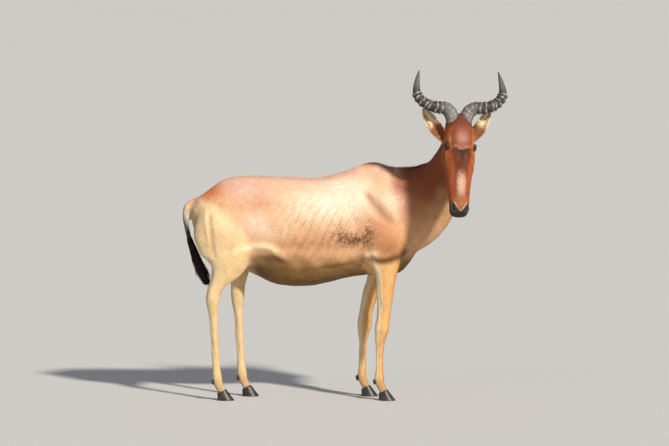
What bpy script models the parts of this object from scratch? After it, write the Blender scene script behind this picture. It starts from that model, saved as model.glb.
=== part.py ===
"""Coke's hartebeest (kongoni): a still, life-size model of one adult standing side-on, its head
turned to its right. Metres, +Z up, the animal walking along +X, its left side towards +Y.

The flesh is lofted from named stations, fused, smoothed and parted by thin cuts. Horns, eyes,
ears, hooves and dewclaws are solids of their own that meet the flesh with a small gap.
"""
import math

import bmesh
import bpy
import numpy as np
from mathutils import Matrix, Vector

# ---- driving dimensions, metres -------------------------------------------------------------
GAP = 0.0004                    # clearance left by every cut
BODY_VOXEL = 0.010              # grain of the fused body before it is thinned
HEAD_VOXEL = 0.0055             # grain of the fused head
BODY_TRIANGLES = 3050           # what is left of the body and legs
HEAD_TRIANGLES = 2350
SIDES = {"right": -1.0, "left": 1.0}

# The head's own frame: x runs down the face to the nose, z out of the forehead, y to its left.
HEAD_ORIGIN = Vector((0.555, -0.345, 1.307))
HEAD_TURN = math.radians(-79.0)         # which way the nose points, seen from above
HEAD_DROP = math.radians(72.0)          # how far the face hangs below level
HEAD_ROLL = math.radians(-4.0)
HORN_ROLL = math.radians(-1.5)          # the horns and ears stand a little straighter than the face
EAR_SPREAD = {"right": 1.0, "left": 0.87}   # the left ear is laid back a little more

EYE_PLACE = (0.036, 0.0625, 0.024)      # in the head's frame, for the left eye
EYE_RADIUS = 0.0195
EAR_THICKNESS = 0.007
HOOF_LENGTH = 0.084
HOOF_WIDTH = 0.035
HOOF_NARROWS = (0.22, 0.10)             # the share of its length and of its width a hoof loses upwards
HOOF_INNER_SHARE = 0.72                 # how flat the side towards its partner is
TOE_SLOPE = 0.030                       # how far the toe leans back
CLAW_GAP = 0.003                        # between the two claws of a foot
SOLE_AHEAD = 0.014                      # the sole's middle, ahead of the leg's last station
CORONET = 0.052                         # height of the hoof's upper edge, at its front

# Trunk: x, back line, belly line, half width, how round the back is, how round the belly is.
TRUNK = [
    (-0.772, 0.985, 0.890, 0.028, 2.0, 2.0),
    (-0.748, 1.004, 0.810, 0.072, 2.0, 2.0),
    (-0.690, 1.047, 0.750, 0.108, 2.0, 2.0),
    (-0.600, 1.107, 0.700, 0.132, 2.0, 2.0),
    (-0.500, 1.120, 0.640, 0.144, 1.9, 2.0),
    (-0.400, 1.119, 0.594, 0.152, 1.9, 2.2),
    (-0.280, 1.115, 0.562, 0.160, 1.9, 2.3),
    (-0.150, 1.110, 0.567, 0.163, 1.8, 2.3),
    (-0.020, 1.139, 0.598, 0.157, 1.6, 2.2),
    (0.100, 1.183, 0.618, 0.143, 1.4, 2.1),
    (0.200, 1.172, 0.612, 0.128, 1.4, 2.0),
    (0.280, 1.100, 0.635, 0.108, 1.6, 2.0),
    (0.340, 0.990, 0.710, 0.080, 2.0, 2.0),
    (0.368, 0.900, 0.790, 0.040, 2.0, 2.0),
]
TRUNK_LEVEL = 0.56              # where the trunk is widest, as a share of its height

# Neck: x, y, z of its middle, half its depth (nape to throat), half its width.
NECK = [
    (0.060, 0.000, 0.930, 0.200, 0.100),
    (0.195, -0.004, 0.930, 0.235, 0.124),
    (0.310, -0.020, 0.955, 0.218, 0.114),
    (0.405, -0.052, 1.012, 0.186, 0.099),
    (0.470, -0.094, 1.091, 0.143, 0.086),
    (0.508, -0.136, 1.182, 0.099, 0.077),
    (0.530, -0.190, 1.257, 0.078, 0.069),
    (0.544, -0.270, 1.308, 0.054, 0.056),
]

# Head: x, brow line, jaw line, half width, roundness above and below.
HEAD = [
    (-0.142, 0.034, -0.028, 0.042, 2.2, 2.0),
    (-0.118, 0.053, -0.058, 0.060, 2.4, 2.0),
    (-0.075, 0.067, -0.084, 0.069, 2.5, 2.0),
    (-0.030, 0.073, -0.102, 0.073, 2.6, 2.0),
    (0.010, 0.073, -0.118, 0.076, 2.6, 1.9),
    (0.050, 0.070, -0.129, 0.0795, 2.5, 1.8),
    (0.100, 0.065, -0.122, 0.0790, 2.4, 1.8),
    (0.155, 0.059, -0.103, 0.0715, 2.2, 1.8),
    (0.210, 0.054, -0.086, 0.0625, 2.2, 1.8),
    (0.265, 0.049, -0.072, 0.0545, 2.2, 1.9),
    (0.310, 0.044, -0.061, 0.0500, 2.3, 2.0),
    (0.345, 0.037, -0.055, 0.0480, 2.3, 2.0),
    (0.370, 0.022, -0.047, 0.0410, 2.3, 2.0),
    (0.384, 0.000, -0.027, 0.0200, 2.2, 2.0),
]
HEAD_LEVEL = 0.55

# Legs: x, distance from the midline, z, half depth fore and aft, half width.
FORELEG = [
    (0.170, 0.070, 1.060, 0.060, 0.029),
    (0.185, 0.084, 0.960, 0.105, 0.046),
    (0.200, 0.095, 0.860, 0.118, 0.056),
    (0.190, 0.103, 0.780, 0.105, 0.055),
    (0.196, 0.110, 0.715, 0.080, 0.050),
    (0.200, 0.113, 0.655, 0.065, 0.045),
    (0.198, 0.112, 0.590, 0.052, 0.039),
    (0.193, 0.110, 0.500, 0.042, 0.033),
    (0.186, 0.108, 0.420, 0.036, 0.030),
    (0.180, 0.107, 0.375, 0.037, 0.033),
    (0.177, 0.106, 0.345, 0.038, 0.034),
    (0.172, 0.105, 0.305, 0.029, 0.027),
    (0.170, 0.104, 0.265, 0.0235, 0.0205),
    (0.168, 0.103, 0.200, 0.0215, 0.0185),
    (0.166, 0.102, 0.145, 0.0225, 0.0195),
    (0.165, 0.102, 0.115, 0.0270, 0.0240),
    (0.167, 0.102, 0.090, 0.0260, 0.0240),
    (0.178, 0.102, 0.066, 0.0230, 0.0230),
    (0.192, 0.102, 0.040, 0.0250, 0.0280),
]
HINDLEG = [
    (-0.580, 0.064, 0.990, 0.060, 0.034),
    (-0.600, 0.079, 0.920, 0.132, 0.061),
    (-0.605, 0.090, 0.840, 0.158, 0.071),
    (-0.598, 0.098, 0.770, 0.145, 0.068),
    (-0.590, 0.102, 0.705, 0.118, 0.060),
    (-0.604, 0.103, 0.650, 0.082, 0.049),
    (-0.632, 0.103, 0.600, 0.052, 0.039),
    (-0.654, 0.103, 0.555, 0.039, 0.034),
    (-0.664, 0.103, 0.515, 0.038, 0.034),
    (-0.664, 0.103, 0.470, 0.031, 0.028),
    (-0.661, 0.102, 0.420, 0.0255, 0.0220),
    (-0.656, 0.102, 0.320, 0.0235, 0.0200),
    (-0.650, 0.101, 0.220, 0.0225, 0.0190),
    (-0.646, 0.100, 0.150, 0.0235, 0.0200),
    (-0.643, 0.100, 0.115, 0.0275, 0.0240),
    (-0.640, 0.100, 0.090, 0.0265, 0.0240),
    (-0.628, 0.100, 0.066, 0.0235, 0.0230),
    (-0.613, 0.100, 0.040, 0.0250, 0.0280),
]
# Rounded forms set into the lofts: place, radii. Those of the legs are on the left side.
HOCK_POINT = ((-0.680, 0.103, 0.533), (0.022, 0.018, 0.045))
ELBOW = ((0.112, 0.102, 0.752), (0.045, 0.038, 0.050))
SHOULDER = ((0.280, 0.076, 0.815), (0.075, 0.052, 0.075))
ORBIT = ((EYE_PLACE[0] - 0.004, 0.050, 0.020), (0.034, 0.026, 0.031))      # in the head's frame
NOSTRIL = ((0.335, 0.026, 0.014), (0.026, 0.019, 0.022))
CHEEK = ((0.060, 0.040, -0.070), (0.075, 0.032, 0.050))
# A dewclaw: how far behind the sole's middle, how far to its side, its height; its radii.
DEWCLAW = ((0.066, 0.013, 0.092), (0.010, 0.008, 0.014))
STRIDE = {("fore", "right"): 0.0, ("fore", "left"): -0.085, ("hind", "right"): 0.0, ("hind", "left"): 0.120}

# Tail: x, y, z, half depth, half width; the tuft is the wide lower part.
TAIL = [
    (-0.740, 0.000, 0.985, 0.030, 0.030),
    (-0.783, -0.002, 0.968, 0.022, 0.024),
    (-0.802, -0.004, 0.935, 0.0165, 0.018),
    (-0.800, -0.006, 0.880, 0.0130, 0.015),
    (-0.789, -0.008, 0.825, 0.0120, 0.013),
    (-0.776, -0.010, 0.778, 0.0125, 0.013),
    (-0.760, -0.012, 0.735, 0.0185, 0.017),
    (-0.741, -0.014, 0.688, 0.0270, 0.023),
    (-0.720, -0.016, 0.635, 0.0330, 0.028),
    (-0.703, -0.018, 0.597, 0.0270, 0.024),
    (-0.694, -0.020, 0.575, 0.0120, 0.011),
]
TUFT_CUT = 0.778                # where the tuft of the tail begins

# Where the legs are parted: rear and front of the box round a leg, its top, and the knee or hock.
LEG_BOX = {"fore": (0.110, 0.300, 0.668, 0.345), "hind": (-0.800, -0.430, 0.735, 0.500)}
LEG_INNER, LEG_OUTER, LEG_LINE = 0.048, 0.260, 0.103
FETLOCK = 0.128
CORONET_NORMAL = (-0.40, 0.0, 0.92)
NECK_CUT = ((0.290, -0.010, 0.975), (0.80, -0.10, 0.55))        # a point on the plane, its normal
NECK_SAW, HEAD_SAW, LEG_SAW, FOOT_SAW = 0.34, 0.20, 0.050, 0.048   # half the side of each flat saw
HEAD_CUT = ((-0.150, 0.0, -0.018), (0.085, 0.0, -0.137))        # behind the horns, throat: head's frame

# Horn: out from the midline, forward, up, radius; measured from the head's origin, level with the ground.
HORN = [
    (0.022, -0.034, 0.085, 0.0260),
    (0.032, -0.028, 0.112, 0.0320),
    (0.047, -0.016, 0.145, 0.0325),
    (0.078, -0.003, 0.163, 0.0305),
    (0.114, 0.008, 0.165, 0.0290),
    (0.152, 0.010, 0.173, 0.0272),
    (0.188, 0.002, 0.192, 0.0250),
    (0.211, -0.008, 0.218, 0.0225),
    (0.217, -0.019, 0.248, 0.0200),
    (0.213, -0.032, 0.283, 0.0152),
    (0.206, -0.043, 0.316, 0.0095),
    (0.199, -0.052, 0.343, 0.0030),
]
HORN_RINGED_SHARE = 0.70         # the rest of the horn is a smooth tip
HORN_RING_RISE = 0.0016
HORN_FACETS = 10

# Ear: out from the midline, forward, up, radius of the cup, half the angle it wraps round.
EAR = [
    (0.052, -0.034, 0.000, 0.022, 150.0),
    (0.078, -0.036, 0.026, 0.028, 125.0),
    (0.102, -0.038, 0.056, 0.034, 96.0),
    (0.126, -0.040, 0.087, 0.035, 78.0),
    (0.147, -0.042, 0.116, 0.031, 66.0),
    (0.163, -0.043, 0.140, 0.024, 56.0),
    (0.174, -0.044, 0.157, 0.011, 48.0),
]

COLOURS = {                     # base colour, roughness
    "tawny": ((0.60, 0.36, 0.17), 0.80),
    "rufous": ((0.40, 0.15, 0.055), 0.70),
    "cream": ((0.78, 0.62, 0.40), 0.85),
    "black_hair": ((0.012, 0.010, 0.010), 0.60),
    "horn": ((0.10, 0.09, 0.085), 0.50),
    "hoof": ((0.035, 0.030, 0.028), 0.45),
    "eye": ((0.020, 0.012, 0.008), 0.05),
}


# ---- small tools ----------------------------------------------------------------------------
def spline(rows, steps):
    """The rows joined by a Catmull-Rom curve, with so many steps to a span."""
    rows = np.array(rows, float)
    ends = np.vstack([2 * rows[0] - rows[1], rows, 2 * rows[-1] - rows[-2]])
    curve = []
    for i in range(len(rows) - 1):
        a, b, c, d = ends[i:i + 4]
        for t in np.arange(steps) / steps:
            curve.append(b + 0.5 * t * (c - a + t * (2 * a - 5 * b + 4 * c - d + t * (3 * (b - c) + d - a))))
    curve.append(rows[-1])
    return np.array(curve)


def oval(centre, side, up, half_width, rise, drop, above=2.0, below=2.0, count=24):
    """A closed ring of points: a superellipse with its own height and roundness above and below."""
    angle = 2 * np.pi * np.arange(count) / count
    across, height = np.cos(angle), np.sin(angle)
    power = np.where(height >= 0, above, below)
    across = half_width * np.sign(across) * np.abs(across) ** (2 / power)
    height = np.where(height >= 0, rise, drop) * np.sign(height) * np.abs(height) ** (2 / power)
    return np.array(centre) + across[:, None] * np.array(side) + height[:, None] * np.array(up)


def loft(rings):
    """A closed skin through the rings, as a mesh whose faces point out."""
    mesh = bpy.data.meshes.new("loft")
    bm = bmesh.new()
    rows = [[bm.verts.new(point) for point in ring] for ring in rings]
    for low, high in zip(rows, rows[1:]):
        for i, vert in enumerate(low):
            bm.faces.new((vert, low[i - 1], high[i - 1], high[i]))
    bm.faces.new(rows[0])
    bm.faces.new(rows[-1][::-1])
    bmesh.ops.recalc_face_normals(bm, faces=bm.faces)
    bm.to_mesh(mesh)
    bm.free()
    return mesh


def unit(vector):
    return np.array(vector) / np.linalg.norm(vector)


def tube(rows, side, end_side=None, steps=4, count=20):
    """A loft of ovals square to a path; each row is x, y, z, half depth, half width."""
    rows = spline(rows, steps)
    along = np.gradient(rows[:, :3], axis=0)
    end_side = side if end_side is None else end_side
    rings = []
    for row, heading, share in zip(rows, along, np.linspace(0, 1, len(rows))):
        heading = unit(heading)
        lateral = (1 - share) * np.array(side) + share * np.array(end_side)
        lateral = unit(lateral - heading * np.dot(lateral, heading))
        rings.append(oval(row[:3], lateral, np.cross(heading, lateral), row[4], row[3], row[3], count=count))
    return loft(rings)


def ball(centre, radii, turn=None, rows=12):
    """An ellipsoid made from a UV sphere."""
    mesh = bpy.data.meshes.new("ball")
    bm = bmesh.new()
    bmesh.ops.create_uvsphere(bm, u_segments=2 * rows, v_segments=rows, radius=1.0)
    place = Matrix.Translation(centre) @ (turn or Matrix()) @ Matrix.Diagonal((*radii, 1.0))
    bm.transform(place)
    bm.to_mesh(mesh)
    bm.free()
    return mesh


def joined(meshes):
    """Several meshes as one, not yet fused."""
    bm = bmesh.new()
    for mesh in meshes:
        bm.from_mesh(mesh)
    whole = bpy.data.meshes.new("joined")
    bm.to_mesh(whole)
    bm.free()
    return whole


def evaluated(obj):
    """The object's mesh with its modifiers applied; the object itself goes."""
    depsgraph = bpy.context.evaluated_depsgraph_get()
    mesh = bpy.data.meshes.new_from_object(obj.evaluated_get(depsgraph))
    bpy.data.objects.remove(obj)
    return mesh


def staged(mesh):
    obj = bpy.data.objects.new("work", mesh)
    bpy.context.scene.collection.objects.link(obj)
    return obj


def fused(mesh, voxel, smooth, triangles):
    """Overlapping lofts as one closed skin, smoothed and thinned to so many triangles."""
    obj = staged(mesh)
    remesh = obj.modifiers.new("fuse", "REMESH")
    remesh.mode = "VOXEL"
    remesh.voxel_size = voxel
    soften = obj.modifiers.new("soften", "SMOOTH")
    soften.factor = 0.5
    soften.iterations = smooth
    mesh = evaluated(obj)
    obj = staged(mesh)
    thin = obj.modifiers.new("thin", "DECIMATE")
    thin.ratio = triangles / (2 * len(mesh.polygons))
    return evaluated(obj)


def boolean(mesh, cutter, operation="DIFFERENCE"):
    body, tool = staged(mesh), staged(cutter)
    cut = body.modifiers.new("cut", "BOOLEAN")
    cut.operation = operation
    cut.solver = "EXACT"
    cut.object = tool
    result = evaluated(body)
    bpy.data.objects.remove(tool)
    return result


def swollen(mesh, distance):
    """A copy of the mesh pushed out along its normals."""
    copy = mesh.copy()
    bm = bmesh.new()
    bm.from_mesh(copy)
    bm.normal_update()
    for vert in bm.verts:
        vert.co += vert.normal * distance
    bm.to_mesh(copy)
    bm.free()
    return copy


def loose_pieces(mesh, smallest=12):
    """The separate closed bodies of a mesh, largest first."""
    bm = bmesh.new()
    bm.from_mesh(mesh)
    left = set(bm.verts)
    pieces = []
    while left:
        group, edge = set(), [left.pop()]
        while edge:
            vert = edge.pop()
            group.add(vert)
            for link in vert.link_edges:
                other = link.other_vert(vert)
                if other in left:
                    left.remove(other)
                    edge.append(other)
        if len(group) >= smallest:
            pieces.append(group)
    meshes = []
    for group in sorted(pieces, key=len, reverse=True):
        part = bmesh.new()
        copies = {vert: part.verts.new(vert.co) for vert in bm.verts if vert in group}
        for face in bm.faces:
            if face.verts[0] in group:
                part.faces.new([copies[vert] for vert in face.verts])
        piece = bpy.data.meshes.new("piece")
        part.to_mesh(piece)
        part.free()
        meshes.append(piece)
    bm.free()
    return meshes


def middle(mesh):
    corners = np.array([vert.co for vert in mesh.vertices])
    return (corners.min(axis=0) + corners.max(axis=0)) / 2


def slab(centre, normal, half_side, thickness=GAP, across=(0.0, 1.0, 0.0)):
    """A thin square plate used as a saw: its flat faces square to the normal."""
    normal = Vector(normal).normalized()
    first = Vector(across) - normal * normal.dot(Vector(across))
    first.normalize()
    turn = Matrix((first, normal.cross(first), normal)).transposed().to_4x4()
    mesh = bpy.data.meshes.new("slab")
    bm = bmesh.new()
    bmesh.ops.create_cube(bm, size=1.0)
    place = Matrix.Translation(centre) @ turn @ Matrix.Diagonal((2 * half_side, 2 * half_side, thickness, 1.0))
    bm.transform(place)
    bm.to_mesh(mesh)
    bm.free()
    return mesh


def box_saw(low, high):
    """The thin wall of a box, which parts what is inside the box from what is outside."""
    mesh = bpy.data.meshes.new("saw")
    bm = bmesh.new()
    bmesh.ops.create_cube(bm, size=1.0)
    low, high = Vector(low), Vector(high)
    span = high - low
    bm.transform(Matrix.Translation((low + high) / 2) @ Matrix.Diagonal((*span, 1.0)))
    bm.to_mesh(mesh)
    bm.free()
    obj = staged(mesh)
    wall = obj.modifiers.new("wall", "SOLIDIFY")
    wall.thickness = GAP
    wall.use_even_offset = True
    return evaluated(obj)


# ---- the head's frames ----------------------------------------------------------------------
def head_frames():
    """The face's frame, and the same place and turn held level with the ground."""
    place = Matrix.Translation(HEAD_ORIGIN) @ Matrix.Rotation(HEAD_TURN, 4, "Z")
    face = place @ Matrix.Rotation(HEAD_ROLL, 4, "X") @ Matrix.Rotation(HEAD_DROP, 4, "Y")
    return face, place @ Matrix.Rotation(HORN_ROLL, 4, "X")


FACE, LEVEL = head_frames()


def placed(frame, points):
    points = np.atleast_2d(points)
    return points @ np.array(frame.to_3x3()).T + np.array(frame.translation)


def trunk_mesh():
    rings = []
    for x, back, belly, half_width, above, below in spline(TRUNK, 4):
        level = belly + TRUNK_LEVEL * (back - belly)
        rings.append(oval((x, 0, level), (0, 1, 0), (0, 0, 1), half_width, back - level, level - belly,
                          above, below, count=36))
    return loft(rings)


def head_mesh():
    rings = []
    side, up = (0, 1, 0), (0, 0, 1)
    for x, brow, jaw, half_width, above, below in spline(HEAD, 4):
        level = jaw + HEAD_LEVEL * (brow - jaw)
        ring = oval((x, 0, level), side, up, half_width, brow - level, level - jaw, above, below, count=32)
        rings.append(placed(FACE, ring))
    return loft(rings)


def face_forms():
    """The bony rims round the eyes, the nostrils' wings and the cheeks."""
    turn = FACE.to_3x3().to_4x4()
    return [ball(FACE @ Vector((x, s * y, z)), radii, turn)
            for (x, y, z), radii in (ORBIT, NOSTRIL, CHEEK) for s in SIDES.values()]


def neck_mesh():
    head_side = np.array(FACE.to_3x3()) @ (0, 1, 0)
    return tube(NECK, (0, 1, 0), head_side, count=28)


def leg_rows(which, side):
    """A leg's stations on its own side, the foot set fore or aft by the stride."""
    rows = FORELEG if which == "fore" else HINDLEG
    top, knee = rows[3][2], rows[8][2]
    stride, s = STRIDE[which, side], SIDES[side]
    moved = []
    for x, y, z, depth, width in rows:
        share = min(max((top - z) / (top - knee), 0.0), 1.0)
        moved.append((x + stride * share * share * (3 - 2 * share), s * y, z, depth, width))
    return moved


def leg_meshes(which, side):
    """One leg's loft and the joints that stand out from it."""
    s = SIDES[side]
    forms = {"fore": ((ELBOW, 0.0), (SHOULDER, 0.0)), "hind": ((HOCK_POINT, STRIDE[which, side]),)}
    joints = [ball((x + stride, s * y, z), radii) for ((x, y, z), radii), stride in forms[which]]
    return [tube(leg_rows(which, side), (0, 1, 0))] + joints


def tail_mesh():
    return tube(TAIL, (0, 1, 0), steps=2, count=10)


def horn_mesh(s):
    """A bracket-shaped horn: out, then up and back, with raised rings below a smooth tip."""
    rows = spline(HORN, 2)
    path = placed(LEVEL, rows[:, [1, 0, 2]] * (1, s, 1))
    along = np.gradient(path, axis=0)
    rings = []
    for i, (point, heading) in enumerate(zip(path, along)):
        heading = unit(heading)
        lateral = unit(np.cross(heading, placed(LEVEL, (1.0, 0.0, 0.0))[0] - np.array(LEVEL.translation)))
        ringed = i < HORN_RINGED_SHARE * len(rows) and i % 2
        radius = rows[i, 3] + (HORN_RING_RISE if ringed else 0.0)
        rings.append(oval(point, lateral, np.cross(lateral, heading), radius, radius, radius,
                          count=HORN_FACETS))
    return loft(rings)


def ear_mesh(side):
    """A cupped leaf: each ring is a C open to the front, thick enough to stand as a solid."""
    rows, s = spline(EAR, 2), SIDES[side]
    rows[:, 0] = rows[0, 0] + EAR_SPREAD[side] * (rows[:, 0] - rows[0, 0])
    centres = rows[:, [1, 0, 2]] * (1, s, 1)
    along = np.gradient(centres, axis=0)
    rings = []
    for (radius, wrap), centre, heading in zip(rows[:, 3:], centres, along):
        heading = unit(heading)
        front = np.array((1.0, 0.35 * s, 0.0))
        front = unit(front - heading * np.dot(front, heading))
        across = np.cross(heading, front)
        wrap = math.radians(wrap)
        sweep = np.linspace(-wrap, wrap, 6)
        inner = max(radius - EAR_THICKNESS, 0.35 * radius)
        arcs = [(radius, sweep), (inner, sweep[::-1])]
        ring = [size * (np.sin(angle) * across - np.cos(angle) * front) for size, arc in arcs for angle in arc]
        ring = np.array(ring) + centre + front * radius * math.cos(wrap / 2)
        rings.append(placed(LEVEL, ring))
    return loft(rings)


def hoof_mesh(x, y, inner):
    """One claw: a D-shaped wall that narrows upwards, cut off along the coronet."""
    count, rows = 14, 3
    angle = 2 * np.pi * np.arange(count) / count
    rings = []
    for share in np.linspace(0, 1, rows):
        length, width = (size * (1 - loss * share)
                         for size, loss in zip((HOOF_LENGTH, HOOF_WIDTH), HOOF_NARROWS))
        toe = x + 0.5 * HOOF_LENGTH - TOE_SLOPE * share
        along = toe - 0.5 * length * (1 - np.cos(angle))
        taper = 1 - 0.30 * np.cos(angle) - 0.10 * np.cos(angle) ** 2
        across = 0.5 * width * np.sin(angle) * taper
        outer = np.where(np.sin(angle) * inner > 0, HOOF_INNER_SHARE, 1.0)
        rings.append(np.stack([along, y + across * outer, np.full(count, share * 1.35 * CORONET)], axis=1))
    bm = bmesh.new()
    bm.from_mesh(loft(rings))
    below = Vector((x, 0, CORONET)) - Vector(CORONET_NORMAL).normalized() * GAP
    trimmed(bm, below, CORONET_NORMAL)
    mesh = bpy.data.meshes.new("hoof")
    bm.to_mesh(mesh)
    bm.free()
    return mesh


def trimmed(bm, point, normal):
    """Everything on the normal's side of a plane goes, and the cut is closed."""
    geometry = bm.verts[:] + bm.edges[:] + bm.faces[:]
    cut = bmesh.ops.bisect_plane(bm, geom=geometry, plane_co=point, plane_no=normal, clear_outer=True)
    edges = [item for item in cut["geom_cut"] if isinstance(item, bmesh.types.BMEdge)]
    bmesh.ops.contextual_create(bm, geom=edges)
    bmesh.ops.recalc_face_normals(bm, faces=bm.faces)


def foot_place(which, side):
    """The middle of a foot's sole, from the last station of its leg."""
    x, y = leg_rows(which, side)[-1][:2]
    return x + SOLE_AHEAD, y


# ---- cutting the body into named parts --------------------------------------------------------
def leg_saws(which, side):
    """Where a leg leaves the trunk, and its knee or hock, fetlock and coronet."""
    s, stride = SIDES[side], STRIDE[which, side]
    rear, front, top, joint = LEG_BOX[which]
    low, high = sorted((s * LEG_INNER, s * LEG_OUTER))
    saws = [box_saw((rear + min(stride, 0.0), low, -0.10), (front, high, top))]
    for height in (joint, FETLOCK):
        x = np.interp(-height, [-row[2] for row in leg_rows(which, side)],
                      [row[0] for row in leg_rows(which, side)])
        saws.append(slab((x, s * LEG_LINE, height), (0, 0, 1), LEG_SAW))
    x, y = foot_place(which, side)
    saws.append(slab((x, y, CORONET), CORONET_NORMAL, FOOT_SAW))
    return saws


def body_saws():
    saws = [saw for which in LEG_BOX for side in SIDES for saw in leg_saws(which, side)]
    saws.append(slab(*NECK_CUT, NECK_SAW))
    centre, normal, across = head_cut()
    saws.append(slab(centre, normal, HEAD_SAW, across=across))
    return joined(saws)


def seeds():
    """A point in the middle of each part of the flesh, by the part's name."""
    points = {"trunk": (-0.25, 0, 0.86), "neck": (0.42, -0.06, 1.04), "spare_head": (0.57, -0.38, 1.2)}
    for which, (rear, front, top, joint) in LEG_BOX.items():
        for side in SIDES:
            rows = leg_rows(which, side)
            bounds = {"upper": (top, joint), "lower": (joint, FETLOCK), "foot": (FETLOCK, CORONET),
                      "spare": (CORONET, 0.02)}
            for name, (high, low) in bounds.items():
                middle_height = (high + low) / 2
                x = np.interp(-middle_height, [-row[2] for row in rows], [row[0] for row in rows])
                points[f"{which}leg_{side}_{name}"] = (x, SIDES[side] * LEG_LINE, middle_height)
    return points


def named_flesh(flesh):
    """The fused body cut up, each piece under the name of the nearest seed."""
    points = seeds()
    parts = {}
    for piece in loose_pieces(boolean(flesh, body_saws())):
        centre = np.mean([vert.co for vert in piece.vertices], axis=0)
        name = min(points, key=lambda key: np.linalg.norm(centre - np.array(points[key])))
        parts.setdefault(name, piece)
    return {name: piece for name, piece in parts.items() if "spare" not in name}


# ---- putting it together ----------------------------------------------------------------------
def material(name):
    colour, roughness = COLOURS[name]
    surface = bpy.data.materials.new(name)
    surface.use_nodes = True
    shader = surface.node_tree.nodes["Principled BSDF"]
    shader.inputs["Base Color"].default_value = (*colour, 1.0)
    shader.inputs["Roughness"].default_value = roughness
    surface.diffuse_color = (*colour, 1.0)
    return surface


def flesh_mesh():
    """Trunk, neck, head and legs fused in one skin."""
    meshes = [trunk_mesh(), neck_mesh(), head_mesh()]
    for which in ("fore", "hind"):
        for side in SIDES:
            meshes += leg_meshes(which, side)
    return fused(joined(meshes), BODY_VOXEL, 8, BODY_TRIANGLES)


def face_mesh():
    """The head fused with the top of the neck, at a finer grain."""
    return fused(joined([head_mesh(), neck_mesh()] + face_forms()), HEAD_VOXEL, 6, HEAD_TRIANGLES)


def head_cut():
    """A plane from behind the horns to the throat, which parts head from neck."""
    back, throat = (FACE @ Vector(point) for point in HEAD_CUT)
    side = FACE.to_3x3() @ Vector((0, 1, 0))
    return (back + throat) / 2, (throat - back).cross(side).normalized(), side


def largest(mesh):
    return loose_pieces(mesh)[0]


def split_level(mesh, height):
    """The part of a mesh above a level and the part below it, with the usual gap."""
    halves = []
    for normal in ((0, 0, -1), (0, 0, 1)):
        bm = bmesh.new()
        bm.from_mesh(mesh)
        trimmed(bm, (0, 0, height - normal[2] * GAP / 2), normal)
        half = bpy.data.meshes.new("half")
        bm.to_mesh(half)
        bm.free()
        halves.append(half)
    return halves


def head_parts():
    """The head with its eyes, horns and ears, each a solid that meets the head's skin."""
    centre, normal, across = head_cut()
    whole = face_mesh()
    cut = boolean(whole.copy(), slab(centre, normal, HEAD_SAW, across=across))
    head = max(loose_pieces(cut), key=lambda piece: (middle(piece) - np.array(centre)) @ np.array(normal))
    parts = {}
    skin = swollen(whole, GAP)
    for side, s in SIDES.items():
        x, y, z = EYE_PLACE
        place = FACE @ Vector((x, s * y, z))
        parts[f"eye_{side}"] = ball(place, (EYE_RADIUS,) * 3, rows=7)
        head = boolean(head, ball(place, (EYE_RADIUS + GAP,) * 3, rows=7))
        parts[f"horn_{side}"] = largest(boolean(horn_mesh(s), skin.copy()))
        parts[f"ear_{side}"] = largest(boolean(ear_mesh(side), skin.copy()))
    parts["head"] = largest(head)
    return parts


def foot_parts(which, side, foot):
    """Two claws and two dewclaws for one foot."""
    x, y = foot_place(which, side)
    s = SIDES[side]
    parts = {}
    for name, away in (("outer", 1.0), ("inner", -1.0)):
        label = f"{which}_{side}_{name}"
        offset = s * away * (HOOF_WIDTH + CLAW_GAP) / 2
        parts[f"hoof_{label}"] = hoof_mesh(x, y + offset, -s * away)
        (behind, aside, height), radii = DEWCLAW
        claw = ball((x - behind, y + s * away * aside, height), radii, rows=4)
        parts[f"dewclaw_{label}"] = largest(boolean(claw, swollen(foot, 2 * GAP)))
    return parts


def part_colour(name):
    if name.startswith(("hoof", "dewclaw")):
        return "hoof"
    if name.startswith("horn"):
        return "horn"
    if name.startswith("eye"):
        return "eye"
    if name == "tail_tuft":
        return "black_hair"
    if name.startswith("ear") or "lower" in name or "foot" in name:
        return "cream"
    return "rufous" if name in ("head", "neck") else "tawny"


def main():
    for obj in list(bpy.data.objects):
        bpy.data.objects.remove(obj)
    parts = named_flesh(flesh_mesh())
    parts.update(head_parts())
    tail = largest(boolean(tail_mesh(), swollen(parts["trunk"], GAP)))
    parts["tail"], parts["tail_tuft"] = split_level(tail, TUFT_CUT)
    for which in LEG_BOX:
        for side in SIDES:
            parts.update(foot_parts(which, side, parts[f"{which}leg_{side}_foot"]))
    collection = bpy.data.collections.new("hartebeest")
    bpy.context.scene.collection.children.link(collection)
    surfaces = {name: material(name) for name in COLOURS}
    corners = np.array([vert.co for mesh in parts.values() for vert in mesh.vertices])
    low, high = corners.min(axis=0), corners.max(axis=0)
    to_origin = Matrix.Translation((-(low[0] + high[0]) / 2, -(low[1] + high[1]) / 2, -low[2]))
    for name, mesh in parts.items():
        mesh.transform(to_origin)
        mesh.materials.clear()
        mesh.materials.append(surfaces[part_colour(name)])
        mesh.shade_smooth()
        mesh.set_sharp_from_angle(angle=math.radians(40))
        collection.objects.link(bpy.data.objects.new(name, mesh))


main()
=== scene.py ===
"""The looks of a Coke's hartebeest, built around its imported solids.

One skin is fused from the solids of flesh, drawn in by the coat's depth and modelled: lids, nostrils,
lips, folds and muscles. Over it lies the coat, as thin solid tufts that follow the lie of the hair.
Eyes, horns, hooves and long hair are pieces of their own. Metres and linear light, and thousandths
in the text tables. The body walks along +X, with its midline at y = 0. The head has its own frame:
x down the face, y to its left, z out of the forehead.
"""
import math

import bmesh
import bpy
import numpy as np
from mathutils import Matrix, Vector
from mathutils.kdtree import KDTree


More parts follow.
